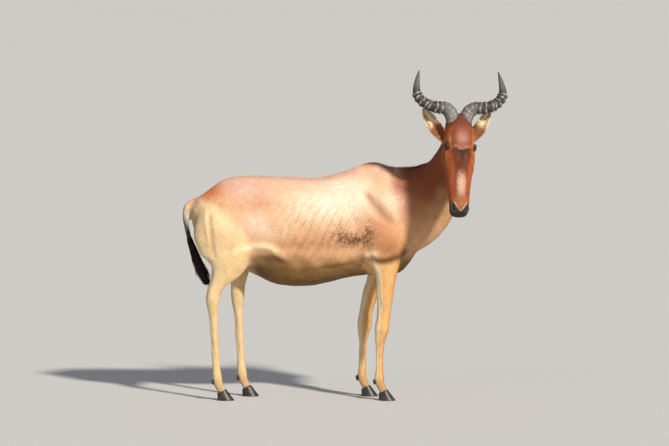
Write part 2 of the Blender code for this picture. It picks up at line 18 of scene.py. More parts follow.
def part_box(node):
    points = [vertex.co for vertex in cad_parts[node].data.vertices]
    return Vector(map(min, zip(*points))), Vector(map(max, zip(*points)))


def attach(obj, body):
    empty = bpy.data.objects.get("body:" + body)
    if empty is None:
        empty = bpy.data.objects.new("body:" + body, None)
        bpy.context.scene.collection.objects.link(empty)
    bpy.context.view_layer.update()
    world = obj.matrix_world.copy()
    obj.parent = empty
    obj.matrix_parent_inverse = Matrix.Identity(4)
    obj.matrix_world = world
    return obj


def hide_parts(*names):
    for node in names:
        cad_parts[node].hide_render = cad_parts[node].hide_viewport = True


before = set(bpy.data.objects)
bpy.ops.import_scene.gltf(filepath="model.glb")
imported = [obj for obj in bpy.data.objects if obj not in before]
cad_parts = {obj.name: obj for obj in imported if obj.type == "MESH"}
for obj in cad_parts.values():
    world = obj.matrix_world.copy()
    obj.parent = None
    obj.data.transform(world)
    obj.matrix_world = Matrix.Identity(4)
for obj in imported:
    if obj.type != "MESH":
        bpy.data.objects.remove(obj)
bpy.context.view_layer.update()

SIDES = {"right": -1.0, "left": 1.0}


def table(text):
    """Rows of numbers in thousandths, such as millimetres; what follows a # is a note."""
    return [np.array(line.split("#")[0].split(), float) / 1000 for line in text.strip().splitlines()]


# ---- measures ----
HEAD_ORIGIN = np.array((0.555, -0.345, 1.307))  # of the head's frame, in the body's
HEAD_TURN, HEAD_DROP = math.radians(-79.0), math.radians(72.0)
HEAD_ROLL, HORN_ROLL = math.radians(-4.0), math.radians(-1.5)
EYE_PLACE = np.array((0.036, 0.0625, 0.024))  # the left eye, in the head's frame
EYE_RADIUS = 0.019
EYE_AIM = (0.06, 0.92, 0.38)  # where the left eye looks
EYE_SLANT = (0.82, 0, 0.42)  # from its rear corner to the one by the nose
LID_LENGTH, LID_RISE, LID_DROP = 0.0172, 0.0112, 0.0086  # half the opening's length, its heights
EAR_SPREAD = {"right": 1.0, "left": 0.87}
EAR_THICKNESS = 0.0055
VOXEL = 0.008  # grain of the fused skin, before the finer places are shrunk back
SWELL = 0.001  # closes the gaps between the solids while they are fused
STRIDE = {  # how far each foot is set forward
    ("fore", "right"): 0.0, ("fore", "left"): -0.085, ("hind", "right"): 0.0, ("hind", "left"): 0.12}
HORN_RINGS = 13
HORN_RINGED = 0.7  # the share of the horn that has rings
RING_RISE = (0.0038, 0.0042)  # how high the rings stand at the base, and how much more at the tip
HORN_LEAST = 0.0012  # how much the grooves lie in, and the horn's least radius
BULGE = 0.001  # how far the eye's clear front stands out
HOOF_LENGTH = 0.084  # along the ground
HOOF_LEAN = 0.76  # how far the toe's wall leans back for each bit of its height
CORONET, HEEL = 0.054, 0.035  # how high the wall is at the toe and at the heel
CLAW_MIDDLE = 0.0215  # from a claw's middle to the foot's
CLAW_WIDTH, CLAW_TAPER = 0.035, 0.015  # on the ground, and how much less at the top
CLAW_GAP, CLAW_CLOSING = 0.0012, 0.001  # to the foot's middle on the ground, and how much less above
PATCH = 0.003  # how wide a tuft is on the unwrap
MOST_TUFTS = 33000  # in one piece, six triangles each
ROOT_DEPTH = 0.0006  # how far a tuft starts under the skin
TUFT_THICK, LOCK_THICK = 0.11, 0.5  # as shares of the width
LOCK_GLOSS = 0.45
COAT_SHARE = 1.0  # the share of the coat's tufts that is made
TAIL_HAIRS, EAR_HAIRS = ((1500, 800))
LASHES, WHISKERS = 70, 110  # ear hairs and lashes are counted on one side
SEEDS = {"coat": 20, "tail": 5, "ears": 6, "lashes": 9, "whiskers": 12, "horns": 31}
ANY_WIDTH = 9.0  # a radius so large that a form reaches through the body
FLOOR_REACH = 2000.0  # so wide that no view shows its edge
CAMERA_ELEVATION = math.radians(4.0)
CAMERA_DISTANCE = 22.0
VIEW_CENTRE = np.array((-0.0575, 0, 0.88))  # what the frame's middle shows, in the body's frame
VIEW_WIDTH = 3.345  # how much the frame takes in there
SENSOR, SIGHT = 36.0, 200.0  # the camera's, in millimetres, and how far it sees
SKY, SKY_STRENGTH = (0.86, 0.9, 1.0, 1), 0.33
PAPER = (0.56, 0.555, 0.545, 1)
# The suns: where they shine from, strength, width in degrees, colour.
SUNS = {
    "key": ((0.46, -0.7, 0.56), 4.6, 4.5, (1.0, 0.94, 0.84)),
    "fill": ((-0.55, -0.7, 0.35), 0.16, 40.0, (0.9, 0.95, 1.0)),
}

# Out from the midline, forward, up, radius; level with the ground at the head's origin.
HORN = table("""
30 -20 70 23
34 -14 106 32
48 -11 142 33.5
78 -3 163 30.5
114 8 165 29
152 10 173 27.2
188 2 192 25
211 -8 218 22.5
217 -19 248 20
213 -32 283 15.2
206 -43 316 9.5
199 -52 343 3
""")
# The same for the ear's cup, and half the angle it wraps round, in degrees.
EAR = table("""
52 -34 0 22 150
78 -36 26 28 125
102 -38 56 34 96
126 -40 87 35 78
147 -42 116 31 66
163 -43 140 24 56
174 -44 157 11 48
""")
# x, y, z, half depth, half width.
TAIL = table("""
-783 -2 968 22 24
-802 -4 935 16.5 18
-800 -6 880 13 15
-789 -8 825 12 13
-776 -10 778 12.5 13
-760 -12 735 18.5 17
-741 -14 688 27 23
-720 -16 635 33 28
-703 -18 597 27 24
-694 -20 575 12 11
""")
# Forms of the face and of the body: place, radii, height.
FACE_FORMS = table("""
14 66 46  26 14 14  6  # brow over the eye
36 76 -6  34 16 20  3.5  # round the eye
68 70 24  18 14 18  3.5
-4 76 22  14 14 16  2.5
78 66 -2  8 10 7  -4.5  # the gland's pit
-30 72 14  20 14 20  -4  # temple
40 82 -18  30 12 10  2.2  # cheekbone under the eye
150 52 18  55 16 18  -4.5  # hollow beside the nose
210 50 -10  60 16 20  -3
180 0 60  110 22 20  3  # bridge of the nose
180 36 46  90 10 12  -2.5
75 0 70  30 22 18  -3.5  # dip between the eyes
0 26 70  34 18 18  3
55 40 58  20 12 14  2.5
75 66 -62  45 20 35  4  # cheek muscle
140 50 -75  50 20 18  -3  # under the cheek
322 46 22  26 12 15  3.5  # wing of the nostril
362 20 22  14 12 10  2
350 32 -16  26 16 10  2.6  # upper lip
345 0 -50  26 30 12  3  # chin
305 34 -46  30 14 12  1.6  # lower lip
""")
BODY_FORMS = table("""
180 130 840  80 110 80  8  # upper arm
120 120 730  30 90 24  8  # elbow
40 150 765  50 110 40  -8  # behind the elbow
60 120 1010  60 110 90  6  # shoulder blade
230 120 990  60 110 60  5
300 110 850  40 110 45  7  # point of the shoulder
250 100 745  50 90 30  5
-545 100 1050  60 100 32  8  # hip
-450 120 970  70 110 60  -7  # hollow before the hip
-600 150 880  90 110 80  6  # thigh
-480 130 735  40 90 40  6  # stifle
-725 50 990  26 40 26  6  # seat bone
-400 130 682  60 100 40  -15  # hollow of the flank, under its fold
-366 0 565  50 18 20  10  # sheath
140 0 1180  60 40 30  3  # withers
""")
JOINT_FORMS = {"fore": table("""
196 106 372  20 32 24  2.8
148 106 385  12 20 16  3
178 106 140  22 30 18  1.8
"""), "hind": table("""
-655 104 500  16 36 24  3
-655 104 142  22 30 18  1.8
""")}
# Lines of the face: width, depth, points.
FACE_LINES = table("""
2.6 6  386 0 -24  374 24 -26  350 40 -28  315 43 -31  275 47 -34  238 47 -40  # mouth
4.6 14  308 40 30  320 40.5 28  334 39.5 25  346 36 22  356 28 21  # nostril
4 -3.2  310 48 20  330 48 14  350 44 10  365 33 11  370 22 16  # its wing
8 3  118 72 4  128 76 -30  118 72 -66  92 64 -98  # cheek's edge
7 -3  70 80 -10  120 76 -12  175 66 -14  # crest
2 -1.2  120 68 28  160 64 6  205 60 -20  240 50 -34  # a vein
3 1.4  -4 62 62  18 64 58  44 62 54  # folds
3 1.2  -10 56 68  18 57 66  50 54 62
3 1.3  60 78 0  44 82 -6  22 82 -6
3 1.1  64 79 -8  44 82 -14  18 81 -12
""")
MOUTH, NOSTRIL = FACE_LINES[:2]
FACE_MIDLINES = table("""
2.2 2.8  378 0 12  385 0 -4  386 0 -20  # lip's groove
9 2.2  20 0 78  70 0 74  120 0 68
""")
NOSTRIL_FOLD, = table("318 46 6  340 46 -2  360 42 -10  372 33 -15")
# Pale spots round the eye: place, radii.
PALE_SPOTS = table("""
22 66 50  13 12 9
62 78 -8  16 14 8
12 84 -4  14 12 8
""")
# Lines on the body's sides: width, depth, x and z of their points.
BODY_LINES = table("""
24 10  80 1075  115 1025  150 985  200 935  265 870
22 -5  40 1050  85 990  130 930  170 870
26 6  40 950  55 880  70 820  95 760
14 8  95 780  135 705  195 702  250 722  290 780
11 6  -672 960  -672 900  -668 830  -660 750  -648 690
10 -3.5  -692 980  -692 910  -687 840  -678 760
20 -11  -600 742  -510 762  -440 774  -375 765  -315 722  -270 680
14 4  -160 650  -40 668  70 690
""")
LEG_GROOVES = {"fore": table("""
4.5 2.8  166 310  160 230  158 150
7 3.5  160 620  165 540  172 450
"""), "hind": table("""
5.5 3.4  -676 450  -668 320  -656 180
11 8  -660 660  -684 600  -700 545
""")}

# ---- colours ----
SAND = (0.66, 0.37, 0.195)
# the back's own colour with a painted pinkish sheen
BACK_AND_SHEEN = (0.66, 0.4, 0.28)
RUFOUS = (0.56, 0.16, 0.026)
CHESTNUT = (0.22, 0.048, 0.014)
UMBER = (0.03, 0.004, 0.003)
# painted highlight: the forehead's sheen
FOREHEAD_SHEEN = (0.4, 0.175, 0.125)
# painted highlight: the sheen down the bridge of the nose
BRIDGE_SHEEN = (0.62, 0.37, 0.26)
CREAM = (0.8, 0.6, 0.345)
LEG_TAN = (0.7, 0.385, 0.145)
# painted shade under the belly
BELLY_SHADE = (0.16, 0.08, 0.018)
EAR_PALE = (0.96, 0.66, 0.4)
BLACK = (0.012, 0.009, 0.009)
GREY = (0.52, 0.45, 0.35)
DARKEST, LIGHTEST = 0.003, 0.9
# Tints on the body's sides: x and z, their radii, colour, strength.
# Some are painted light: the pale peach patches over the flank, withers and shoulder are partly the
# coat's paler sand and partly painted highlight; the pinkish patch on the hip and the pale spot at the
# elbow are painted highlight; the long orange-brown band low on the flank and the dark patch under the
# flank's fold are painted shade.
TINTS_AND_PAINTED_LIGHT = table("""
-60 985  240 95  850 670 510  950
20 1050  120 70  850 670 510  800
225 985  60 60  850 670 510  750
-400 880  110 75  850 670 510  700
-490 1045  100 50  600 370 320  750
-430 985  80 45  560 235 140  550
-350 905  60 60  600 300 140  450
180 850  90 110  520 235 110  850
290 810  50 60  600 290 100  600
215 770  75 50  340 120 40  850
-150 790  260 45  440 215 100  750
135 742  28 18  900 680 440  950
-410 655  62 50  110 60 16  950
""")
# The rubbed patch behind the elbow: x and z, their radii, strength.
RUBBED = table("""
45 802  80 40  1000
115 850  35 50  800
-30 835  50 35  600
""")
# Lines of painted shade in the creases on the body's sides, and one of painted highlight along the
# crest of the flank's fold: width, colour, strength, x and z of their points.
SHADE_AND_HIGHLIGHT_LINES = table("""
20  360 165 80  800  90 1065  125 1015  155 975  205 925  265 870
17  120 40 12  900  110 710  180 704  240 716  290 745  310 780
10  420 270 130  600  -672 960  -672 900  -666 810  -652 720
18  850 650 400  850  -620 735  -520 760  -440 774  -370 768  -310 722
""")
# The short coat by region: tufts per square metre, their length and width.
COAT = {
    "rest": (73e3, 0.015, 0.0034), "neck": (74e3, 0.017, 0.0034), "_upper": (80e3, 0.014, 0.0028),
    "lower": (108e3, 0.009, 0.0019), "head": (165e3, 0.008, 0.0018), "ear": (110e3, 0.0085, 0.0021),
    "tail": (95e3, 0.011, 0.002),
}


# ---- frames ----
def rotation(*parts):
    """Turns about named axes, one after the other, as a 3 by 3 array whose columns are the axes."""
    whole = Matrix.Identity(3)
    for angle, axis in parts:
        whole = whole @ Matrix.Rotation(angle, 3, axis)
    return np.array(whole)


FACE = rotation((HEAD_TURN, "Z"), (HEAD_ROLL, "X"), (HEAD_DROP, "Y"))
LEVEL = rotation((HEAD_TURN, "Z"), (HORN_ROLL, "X"))
eyes_middle = sum(np.array(corner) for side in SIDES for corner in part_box("eye_" + side)) / 4
BASE = eyes_middle - FACE @ (EYE_PLACE * (1, 0, 1)) - HEAD_ORIGIN  # the body's frame in the row's


def in_face(points):
    return (points - HEAD_ORIGIN) @ FACE


def from_face(points):
    return np.asarray(points, float) @ FACE.T + HEAD_ORIGIN


def from_level(points):
    return np.asarray(points, float) @ LEVEL.T + HEAD_ORIGIN


def eye_axes(s):
    """The eye's frame as columns: along the lids to the nose, up over the lids, and out."""
    out = unit(np.multiply(EYE_AIM, (1, s, 1)))
    along = np.multiply(EYE_SLANT, (1, s, 1))
    along = unit(along - out * (out @ along))
    return np.stack([along, np.cross(along, out) * s, out], axis=1)


def in_eye(points, s):
    return (in_face(points) - EYE_PLACE * (1, s, 1)) @ eye_axes(s)


def from_eye(points, s):
    return from_face(points @ eye_axes(s).T + EYE_PLACE * (1, s, 1))


# ---- small tools ----
def turns(count):
    """Angles spaced evenly round a circle."""
    return 2 * math.pi * np.arange(count) / count


def length(vectors):
    return np.linalg.norm(vectors, axis=-1)


def unit(vectors):
    return vectors / np.maximum(np.linalg.norm(vectors, axis=-1, keepdims=True), 1e-12)


def dots(one, other):
    """The dot products of vectors, kept as a column."""
    return np.sum(one * other, axis=-1, keepdims=True)


def ramp(value, low, high):
    """0 below low, 1 above high, smooth between; low may be the larger."""
    share = np.clip((value - low) / (high - low), 0.0, 1.0)
    return share * share * (3 - 2 * share)


def bell(value, middle, width):
    """1 at the middle, falling smoothly to nothing on both sides."""
    return np.exp(-((value - middle) / width) ** 2)


def blob(points, centre, radii):
    """1 at the centre of an ellipsoid, falling smoothly to nothing."""
    return np.exp(-np.sum(((points - centre) / radii) ** 2, axis=-1))


def side_blob(points, x, z, wide, high):
    return blob(points, (x, 0, z), (wide, ANY_WIDTH, high))


def mix(colour, other, share):
    return colour + (np.asarray(other) - colour) * np.asarray(share)[..., None]


def layered(colour, *layers):
    """Colours laid one over the other, each with its share."""
    for tint, share in layers:
        colour = mix(colour, tint, share)
    return colour


def spline(rows, steps):
    """The rows joined by a Catmull-Rom curve, with so many steps to a span."""
    rows = np.array(rows, float)
    ends = np.vstack([2 * rows[0] - rows[1], rows, 2 * rows[-1] - rows[-2]])
    curve = []
    for a, b, c, d in zip(ends, ends[1:], ends[2:], ends[3:]):
        for t in np.arange(steps) / steps:
            bend = 2 * a - 5 * b + 4 * c - d + t * (3 * (b - c) + d - a)
            curve.append(b + 0.5 * t * (c - a + t * bend))
    return np.array(curve + [rows[-1]])


def share_along(points, start, end):
    """How far along from start to end each point is: 0 at start, 1 at end."""
    span = np.subtract(end, start)
    return ((points - start) @ span) / (span @ span)


def path_distance(points, path, reach=0.012):
    """How far each point is from a curve and how far along it, 0 to 1; beyond reach it says reach."""
    path = spline(np.reshape(path, (-1, 3)), 6)
    near = np.all((points > path.min(axis=0) - reach) & (points < path.max(axis=0) + reach), axis=1)
    distance, along = np.full(len(points), reach), np.zeros(len(points))
    some = points[near]
    best, share = distance[near], along[near]
    for i, (start, end) in enumerate(zip(path, path[1:])):
        t = np.clip(share_along(some, start, end), 0, 1)
        d = length(some - start - t[:, None] * (end - start))
        closer = d < best
        best[closer] = d[closer]
        share[closer] = (i + t[closer]) / (len(path) - 1)
    distance[near], along[near] = best, share
    return distance, along


def line_share(points, path, width):
    """1 on a line, falling to nothing beside it and towards its ends."""
    distance, along = path_distance(points, path, 3.2 * width)
    ends = ramp(along, -0.02, 0.25) * ramp(along, 1.02, 0.75)
    return bell(distance, 0, width) * ends * (distance < 3.1 * width)


def side_line(points, numbers, width, stride=0.0):
    """line_share for a line on the body's side, given as x and z; a leg's line moves with the leg."""
    x, z = numbers.reshape(-1, 2).T
    path = np.stack([x + stride * ramp(z, 0.7, 0.45), 0 * z, z], axis=1)
    return line_share(points * (1, 0, 1), path, width)


def noise(points, size, seed=0):
    """A smooth wandering value about -1 to 1, with features of about that size."""
    rng = np.random.default_rng(seed)
    total = np.zeros(len(points))
    for _ in range(7):
        direction = unit(rng.normal(size=3)) * rng.uniform(0.7, 1.5) * 2 * math.pi / size
        total += np.sin(points @ direction + rng.uniform(0, 2 * math.pi))
    return total / 2.6


# ---- meshes and pieces ----
def flat32(values, kind=np.float32):
    return np.ascontiguousarray(values, kind).ravel()


def mesh_from(name, points, faces):
    """A smooth mesh from arrays; all faces have the same number of corners."""
    mesh = bpy.data.meshes.new(name)
    count, corners = faces.shape
    mesh.vertices.add(len(points))
    mesh.vertices.foreach_set("co", flat32(points))
    mesh.loops.add(count * corners)
    mesh.loops.foreach_set("vertex_index", flat32(faces, np.int32))
    mesh.polygons.add(count)
    mesh.polygons.foreach_set("loop_start", np.arange(0, count * corners, corners, dtype=np.int32))
    mesh.polygons.foreach_set("use_smooth", np.ones(count, bool))
    mesh.update(calc_edges=True)
    return mesh


def places_of(mesh):
    values = np.empty(3 * len(mesh.vertices), np.float32)
    mesh.vertices.foreach_get("co", values)
    return values.astype(float).reshape(-1, 3)


def loft_into(bm, rings):
    """Adds a closed skin through the rings, its faces pointing out."""
    rows = [[bm.verts.new(point) for point in ring] for ring in rings]
    faces = [bm.faces.new(rows[0]), bm.faces.new(rows[-1][::-1])]
    for low, high in zip(rows, rows[1:]):
        for i, vert in enumerate(low):
            faces.append(bm.faces.new((vert, low[i - 1], high[i - 1], high[i])))
    bmesh.ops.recalc_face_normals(bm, faces=faces)


def finished(bm, name):
    """A smooth mesh from a bmesh."""
    bm.normal_update()
    mesh = bpy.data.meshes.new(name)
    bm.to_mesh(mesh)
    bm.free()
    mesh.shade_smooth()
    return mesh


def closed_loft(name, rings):
    """A closed mesh through rings of equal count, its ends closed."""
    bm = bmesh.new()
    loft_into(bm, rings)
    return finished(bm, name)


def placed(name, data):
    """A new object in the scene."""
    obj = bpy.data.objects.new(name, data)
    bpy.context.scene.collection.objects.link(obj)
    return obj


def piece(name, mesh, surface, slot, *nodes):
    """A piece of the model: it rides on the root, and may stand for solids."""
    obj = placed(name, mesh)
    mesh.materials.clear()
    mesh.materials.append(surface)
    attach(obj, "root")
    if nodes:
        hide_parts(*nodes)


def paint(mesh, colours, gloss, streaks=None):
    """Each vertex's colour, its gloss as the fourth number, and its place among streaks."""
    values = np.column_stack([np.minimum(colours, LIGHTEST), np.broadcast_to(gloss, len(colours))])
    mesh.color_attributes.new("coat", "FLOAT_COLOR", "POINT").data.foreach_set("color", flat32(values))
    if streaks is not None:
        layer = mesh.attributes.new("streak", "FLOAT_VECTOR", "POINT")
        layer.data.foreach_set("vector", flat32(streaks))


# ---- the regions of the body, and the lie of the hair ----
def ear_axis(side):
    first, last = EAR[0][:3], EAR[-1][:3]
    last = first + (last - first) * (EAR_SPREAD[side], 1, 1)
    return [from_level((forward, SIDES[side] * out, up)) for out, forward, up in (first, last)]


def regions():
    """Each region: start, end and radii of its core, and which way its hair lies."""
    neck = np.array(((0.515, -0.15, 1.2), (0.29, -0.015, 0.96)))
    rows = {
        "trunk": ((0.2, 0, 0.93), (-0.62, 0, 0.9), 0.2, 0.14, (-1, 0, -0.3)),
        "neck": (*neck, 0.085, 0.19, (neck[1] - neck[0]) * (1, 1, 1.4)),
        "head": (*from_face(((0.33, 0, -0.01), (-0.09, 0, -0.01))), 0.05, 0.07, -FACE[:, 0]),
        "tail": ((-0.797, -0.003, 0.95), (-0.784, -0.008, 0.8), 0.024, 0.018, (0.05, 0, -1)),
    }
    for side, s in SIDES.items():
        base, tip = ear_axis(side)
        rows["ear_" + side] = (base, tip, 0.024, 0.03, tip - base)
        for which, x, knee_back, foot_back in (("fore", 0.19, 0, 0.02), ("hind", -0.605, 0.04, 0.03)):
            stride = STRIDE[which, side]
            knee = (x + 0.35 * stride - knee_back, s * 0.105, 0.56)
            foot = (x + stride - foot_back, s * 0.102, 0.06)
            rows[f"{which}_upper_{side}"] = ((x, s * 0.09, 0.82), knee, 0.115, 0.046, (-0.25, 0, -1))
            rows[f"{which}_lower_{side}"] = (knee, foot, 0.04, 0.024, (-0.1, 0, -1))
    return rows


REGIONS = regions()


def region_shares(points):
    """How much each region has to say at each point; the shares add up to 1."""
    shares = []
    for start, end, first, last, _ in REGIONS.values():
        t = np.clip(share_along(points, start, end), 0, 1)
        away = length(points - start - t[:, None] * np.subtract(end, start))
        shares.append(((first + (last - first) * t) / np.maximum(away, 0.002)) ** 6)
    shares = np.array(shares).T
    return shares / shares.sum(axis=1, keepdims=True)


def region_sum(shares, *words):
    """The share of all the regions whose name holds one of the words."""
    picked = [i for i, name in enumerate(REGIONS) if any(word in name for word in words)]
    return shares[:, picked].sum(axis=1)


def hair_lie(points, normals, shares):
    """The direction in which the hair lies at each point, along the skin."""
    lie = shares @ unit(np.array([row[4] for row in REGIONS.values()], float))
    _, y, z = in_face(points).T
    spread = np.stack([0 * y, np.clip(y / 0.035, -1, 1) * 0.3, -0.35 * ramp(z, 0.03, -0.06)], axis=1)
    lie = lie + region_sum(shares, "head")[:, None] * (spread @ FACE.T)
    lie = lie + 0.22 * noise(points, 0.16, 3)[:, None] * np.cross(normals, lie)
    return unit(lie - normals * dots(lie, normals))


# ---- the skin's volume ----
FLESH = ["trunk", "neck", "head", "tail"]
FLESH += [f"{which}leg_{side}_{part}" for which in ("fore", "hind") for side in SIDES
          for part in ("upper", "lower", "foot")]
# Where the skin is finer: centre in the head's frame, radius, how many times finer.
FINER = [
    (EYE_PLACE, 0.03, 2.0),
    (EYE_PLACE * (1, -1, 1), 0.03, 2.0),
    ((0.352, 0, -0.005), 0.062, 1.6),
    ((0.08, 0, 0), 0.3, 2.6),
]


def ear_rings(side, trim=0.0):
    """The rings of one ear: each is a C open to the front."""
    rows, s = spline(EAR, 5), SIDES[side]
    rows[:, 0] = rows[0, 0] + EAR_SPREAD[side] * (rows[:, 0] - rows[0, 0])
    centres = rows[:, [1, 0, 2]] * (1, s, 1)
    rings = []
    headings = unit(np.gradient(centres, axis=0))
    for (radius, wrap), centre, heading in zip(rows[:, 3:], centres, headings):
        front = np.array((1.0, 0.35 * s, 0.0))
        front = unit(front - heading * np.dot(front, heading))
        across = np.cross(heading, front)
        wrap = math.radians(1000 * wrap)  # the table gave thousandths
        sweep = np.linspace(-wrap, wrap, 17)[:, None]
        outer = radius - trim
        inner = max(outer - EAR_THICKNESS, 0.35 * radius)
        ring = [size * (np.sin(angle) * across - np.cos(angle) * front)
                for size, angle in ((outer, sweep), (inner, sweep[::-1]))]
        rings.append(from_level(np.concatenate(ring) + centre + front * radius * math.cos(wrap / 2)))
    return rings


def magnified(points, centre, radius, power):
    """Space magnified round a centre and moved out beyond it."""
    away = points - centre
    r = np.maximum(length(away), 1e-9)[:, None]
    return centre + away / r * np.where(r < radius, r * power, r + (power - 1) * radius)


def fused_flesh():
    """The solids of flesh, the ears and the eyes as one closed skin: points and quads."""
    bm = bmesh.new()
    for name in FLESH:
        bm.from_mesh(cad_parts[name].data)
    bmesh.ops.remove_doubles(bm, verts=bm.verts, dist=1e-5)
    bmesh.ops.translate(bm, vec=-Vector(BASE), verts=bm.verts)
    bm.normal_update()
    for vert in bm.verts:
        vert.co += vert.normal * SWELL
    for side, s in SIDES.items():
        loft_into(bm, ear_rings(side))
        centre = Matrix.Translation(from_face(EYE_PLACE * (1, s, 1)))
        bmesh.ops.create_uvsphere(bm, u_segments=32, v_segments=16, radius=EYE_RADIUS + SWELL,
                                  matrix=centre)
    mesh = finished(bm, "volume")
    steps = []
    for place, radius, power in FINER:
        centre = from_face(place)[None]
        for step in steps:
            centre = magnified(centre, *step)
        steps.append((centre[0], radius, power))
    points = places_of(mesh)
    for step in steps:
        points = magnified(points, *step)
    mesh.vertices.foreach_set("co", flat32(points))
    obj = placed("volume", mesh)
    remesh = obj.modifiers.new("fuse", "REMESH")
    remesh.mode = "VOXEL"
    remesh.voxel_size = VOXEL
    whole = obj.evaluated_get(bpy.context.evaluated_depsgraph_get()).to_mesh()
    points = places_of(whole)
    quads = np.empty(len(whole.loops), np.int32)
    whole.loops.foreach_get("vertex_index", quads)
    bpy.data.objects.remove(obj)
    for centre, radius, power in reversed(steps):
        points = magnified(points, centre, radius * power, 1 / power)
    return points, quads.astype(int).reshape(-1, 4)


def edges_of(quads):
    pairs = np.sort(np.concatenate([quads[:, [i, (i + 1) % 4]] for i in range(4)]), axis=1)
    return np.unique(pairs, axis=0)


def gathered(count, *sources):
    """For each source, an index and its vectors: the sum of the vectors for each index."""
    return sum(np.stack([np.bincount(index, column, count) for column in vectors.T], axis=1)
               for index, vectors in sources)


def relaxed(points, edges, rounds, weight):
    """Smoothed, and then given back what the smoothing shrank."""
    a, b = edges.T
    degree = np.bincount(edges.ravel(), minlength=len(points))[:, None]

    def calm(values):
        for _ in range(rounds):
            mean = gathered(len(points), (a, values[b]), (b, values[a])) / degree
            values = values + (mean - values) * weight[:, None]
        return values
    soft = calm(points)
    return soft + calm(points - soft)


def normals_of(points, quads):
    """Unit normals of the vertices of a mesh of quads."""
    a, b, c, d = points[quads.T]
    face = np.cross(c - a, d - b)
    return unit(gathered(len(points), *((corner, face) for corner in quads.T)))


# ---- modelling the skin ----
class Clay:
    """The skin while it is modelled."""

    def __init__(self, points, quads):
        self.points, self.quads = points, quads
        self.renew()

    def renew(self):
        self.normals = normals_of(self.points, self.quads)

    def move(self, distance):
        self.points = self.points + self.normals * distance[:, None]

    def swell(self, forms, on_face=False):
        """Each form, on both sides unless it is on the midline."""
        q = in_face(self.points) if on_face else self.points
        self.move(sum(height * blob(q, (x, s * y, z), radii) for x, y, z, *radii, height in forms
                      for s in SIDES.values() if y or s > 0))

    def crease(self, lines, *sides):
        """Each line of the face, on the given sides."""
        q = in_face(self.points)
        self.move(-sum(depth * line_share(q, np.reshape(path, (-1, 3)) * (1, s, 1), width)
                       for width, depth, *path in lines for s in sides))

    def side_crease(self, lines, where, stride=0.0):
        """Each line of the body, where points may move, on faces that look to the side."""
        total = -sum(row[1] * side_line(self.points, row[2:], row[0], stride) for row in lines)
        self.move(total * where * ramp(np.abs(self.normals[:, 1]), 0.15, 0.55))


def model_legs(clay):
    """Tendons, joints and bulges of the legs."""
    for (which, side), stride in STRIDE.items():
        s = SIDES[side]
        own = ramp(s * clay.points[:, 1], 0.02, 0.04)
        own = own * (np.abs(clay.points[:, 0] - (0.17 if which == "fore" else -0.62)) < 0.25)
        clay.side_crease(LEG_GROOVES[which], own, stride)
        for x, y, z, *radii, height in JOINT_FORMS[which]:
            clay.move(height * blob(clay.points, (x + stride, s * y, z), radii))


def lid_gap(across, up):
    """How far outside the opening between the lids a point is, in metres; inside it is negative."""
    room = np.clip(1 - (across / LID_LENGTH) ** 2, 0.0, 1.0)
    edge = np.where(up > 0, LID_RISE * room ** 0.62, LID_DROP * room ** 0.85)
    beyond = np.maximum(np.abs(across) - LID_LENGTH, 0)
    return np.where(beyond > 0, np.hypot(beyond, up), np.abs(up) - edge)


def on_eyeball(q, s):
    """For places about the eye's middle: their distance; across, up and out, once drawn to the ball."""
    r = length(q)
    return r, *((q @ eye_axes(s)) * (EYE_RADIUS / np.maximum(r, 1e-6))[:, None]).T


def model_lids(clay):
    """Lids round each eyeball, their rims, the fold above and the corner by the nose."""
    corner_line = ((0.015, -0.0006, 0), (0.0185, -0.0022, 0), (0.0225, -0.005, 0))
    for s in SIDES.values():
        q = in_face(clay.points) - EYE_PLACE * (1, s, 1)
        r, across, up, out = on_eyeball(q, s)
        gap = lid_gap(across, up)
        rim = 0.0012 + 0.0012 * ramp(gap, 0.0008, 0.0035)
        wanted = EYE_RADIUS - 0.003 + (rim + 0.003) * ramp(gap, -0.001, 0.0006)
        wanted += 0.0016 * bell(gap, 0.0105, 0.0035) * ramp(up, 0.0, 0.006)         # brow's fold
        wanted -= 0.0014 * bell(gap, 0.0062, 0.0016) * ramp(up, -0.002, 0.004)      # over the lid
        wanted -= 0.0008 * bell(gap, 0.006, 0.0018) * ramp(up, 0.0, -0.005)
        near = r < 2.2 * EYE_RADIUS
        share = ramp(gap, 0.015, 0.003) * ramp(out, 0.12 * EYE_RADIUS, 0.4 * EYE_RADIUS) * near
        corner = path_distance(np.stack([across, up, 0 * up], axis=1), corner_line, 0.004)[0]
        new = r + (wanted - r) * share - 0.0016 * bell(corner, 0, 0.0011) * (out > 0) * near
        clay.points = from_face(q * (new / np.maximum(r, 1e-6))[:, None] + EYE_PLACE * (1, s, 1))


def rib_ripples(points):
    """Small slanting folds of the skin over the ribs."""
    x, y, z = points.T
    slant = 2 * math.pi * (x - 0.5 * z)
    ribs = 0.0013 * np.sin(slant / 0.046 + 0.9 * noise(points, 0.15, 8))
    ribs *= ramp(x, -0.42, -0.25) * ramp(x, 0.06, -0.04) * ramp(z, 0.64, 0.74) * ramp(z, 1.04, 0.94)
    fine = 0.0021 * np.sin(slant / 0.0215 + 1.3 * noise(points, 0.08, 9))
    fine *= side_blob(points, -0.07, 0.885, 0.19, 0.08) * (0.75 + 0.35 * noise(points, 0.1, 21))
    return (ribs + fine) * ramp(np.abs(y), 0.03, 0.08)


def ripple_slope(points):
    """How the ripples tilt the surface, finer than the skin's own faces can show."""
    step = 0.001
    change = [rib_ripples(points + move) - rib_ripples(points - move) for move in step * np.eye(3)]
    return np.stack(change, axis=1) / (2 * step)


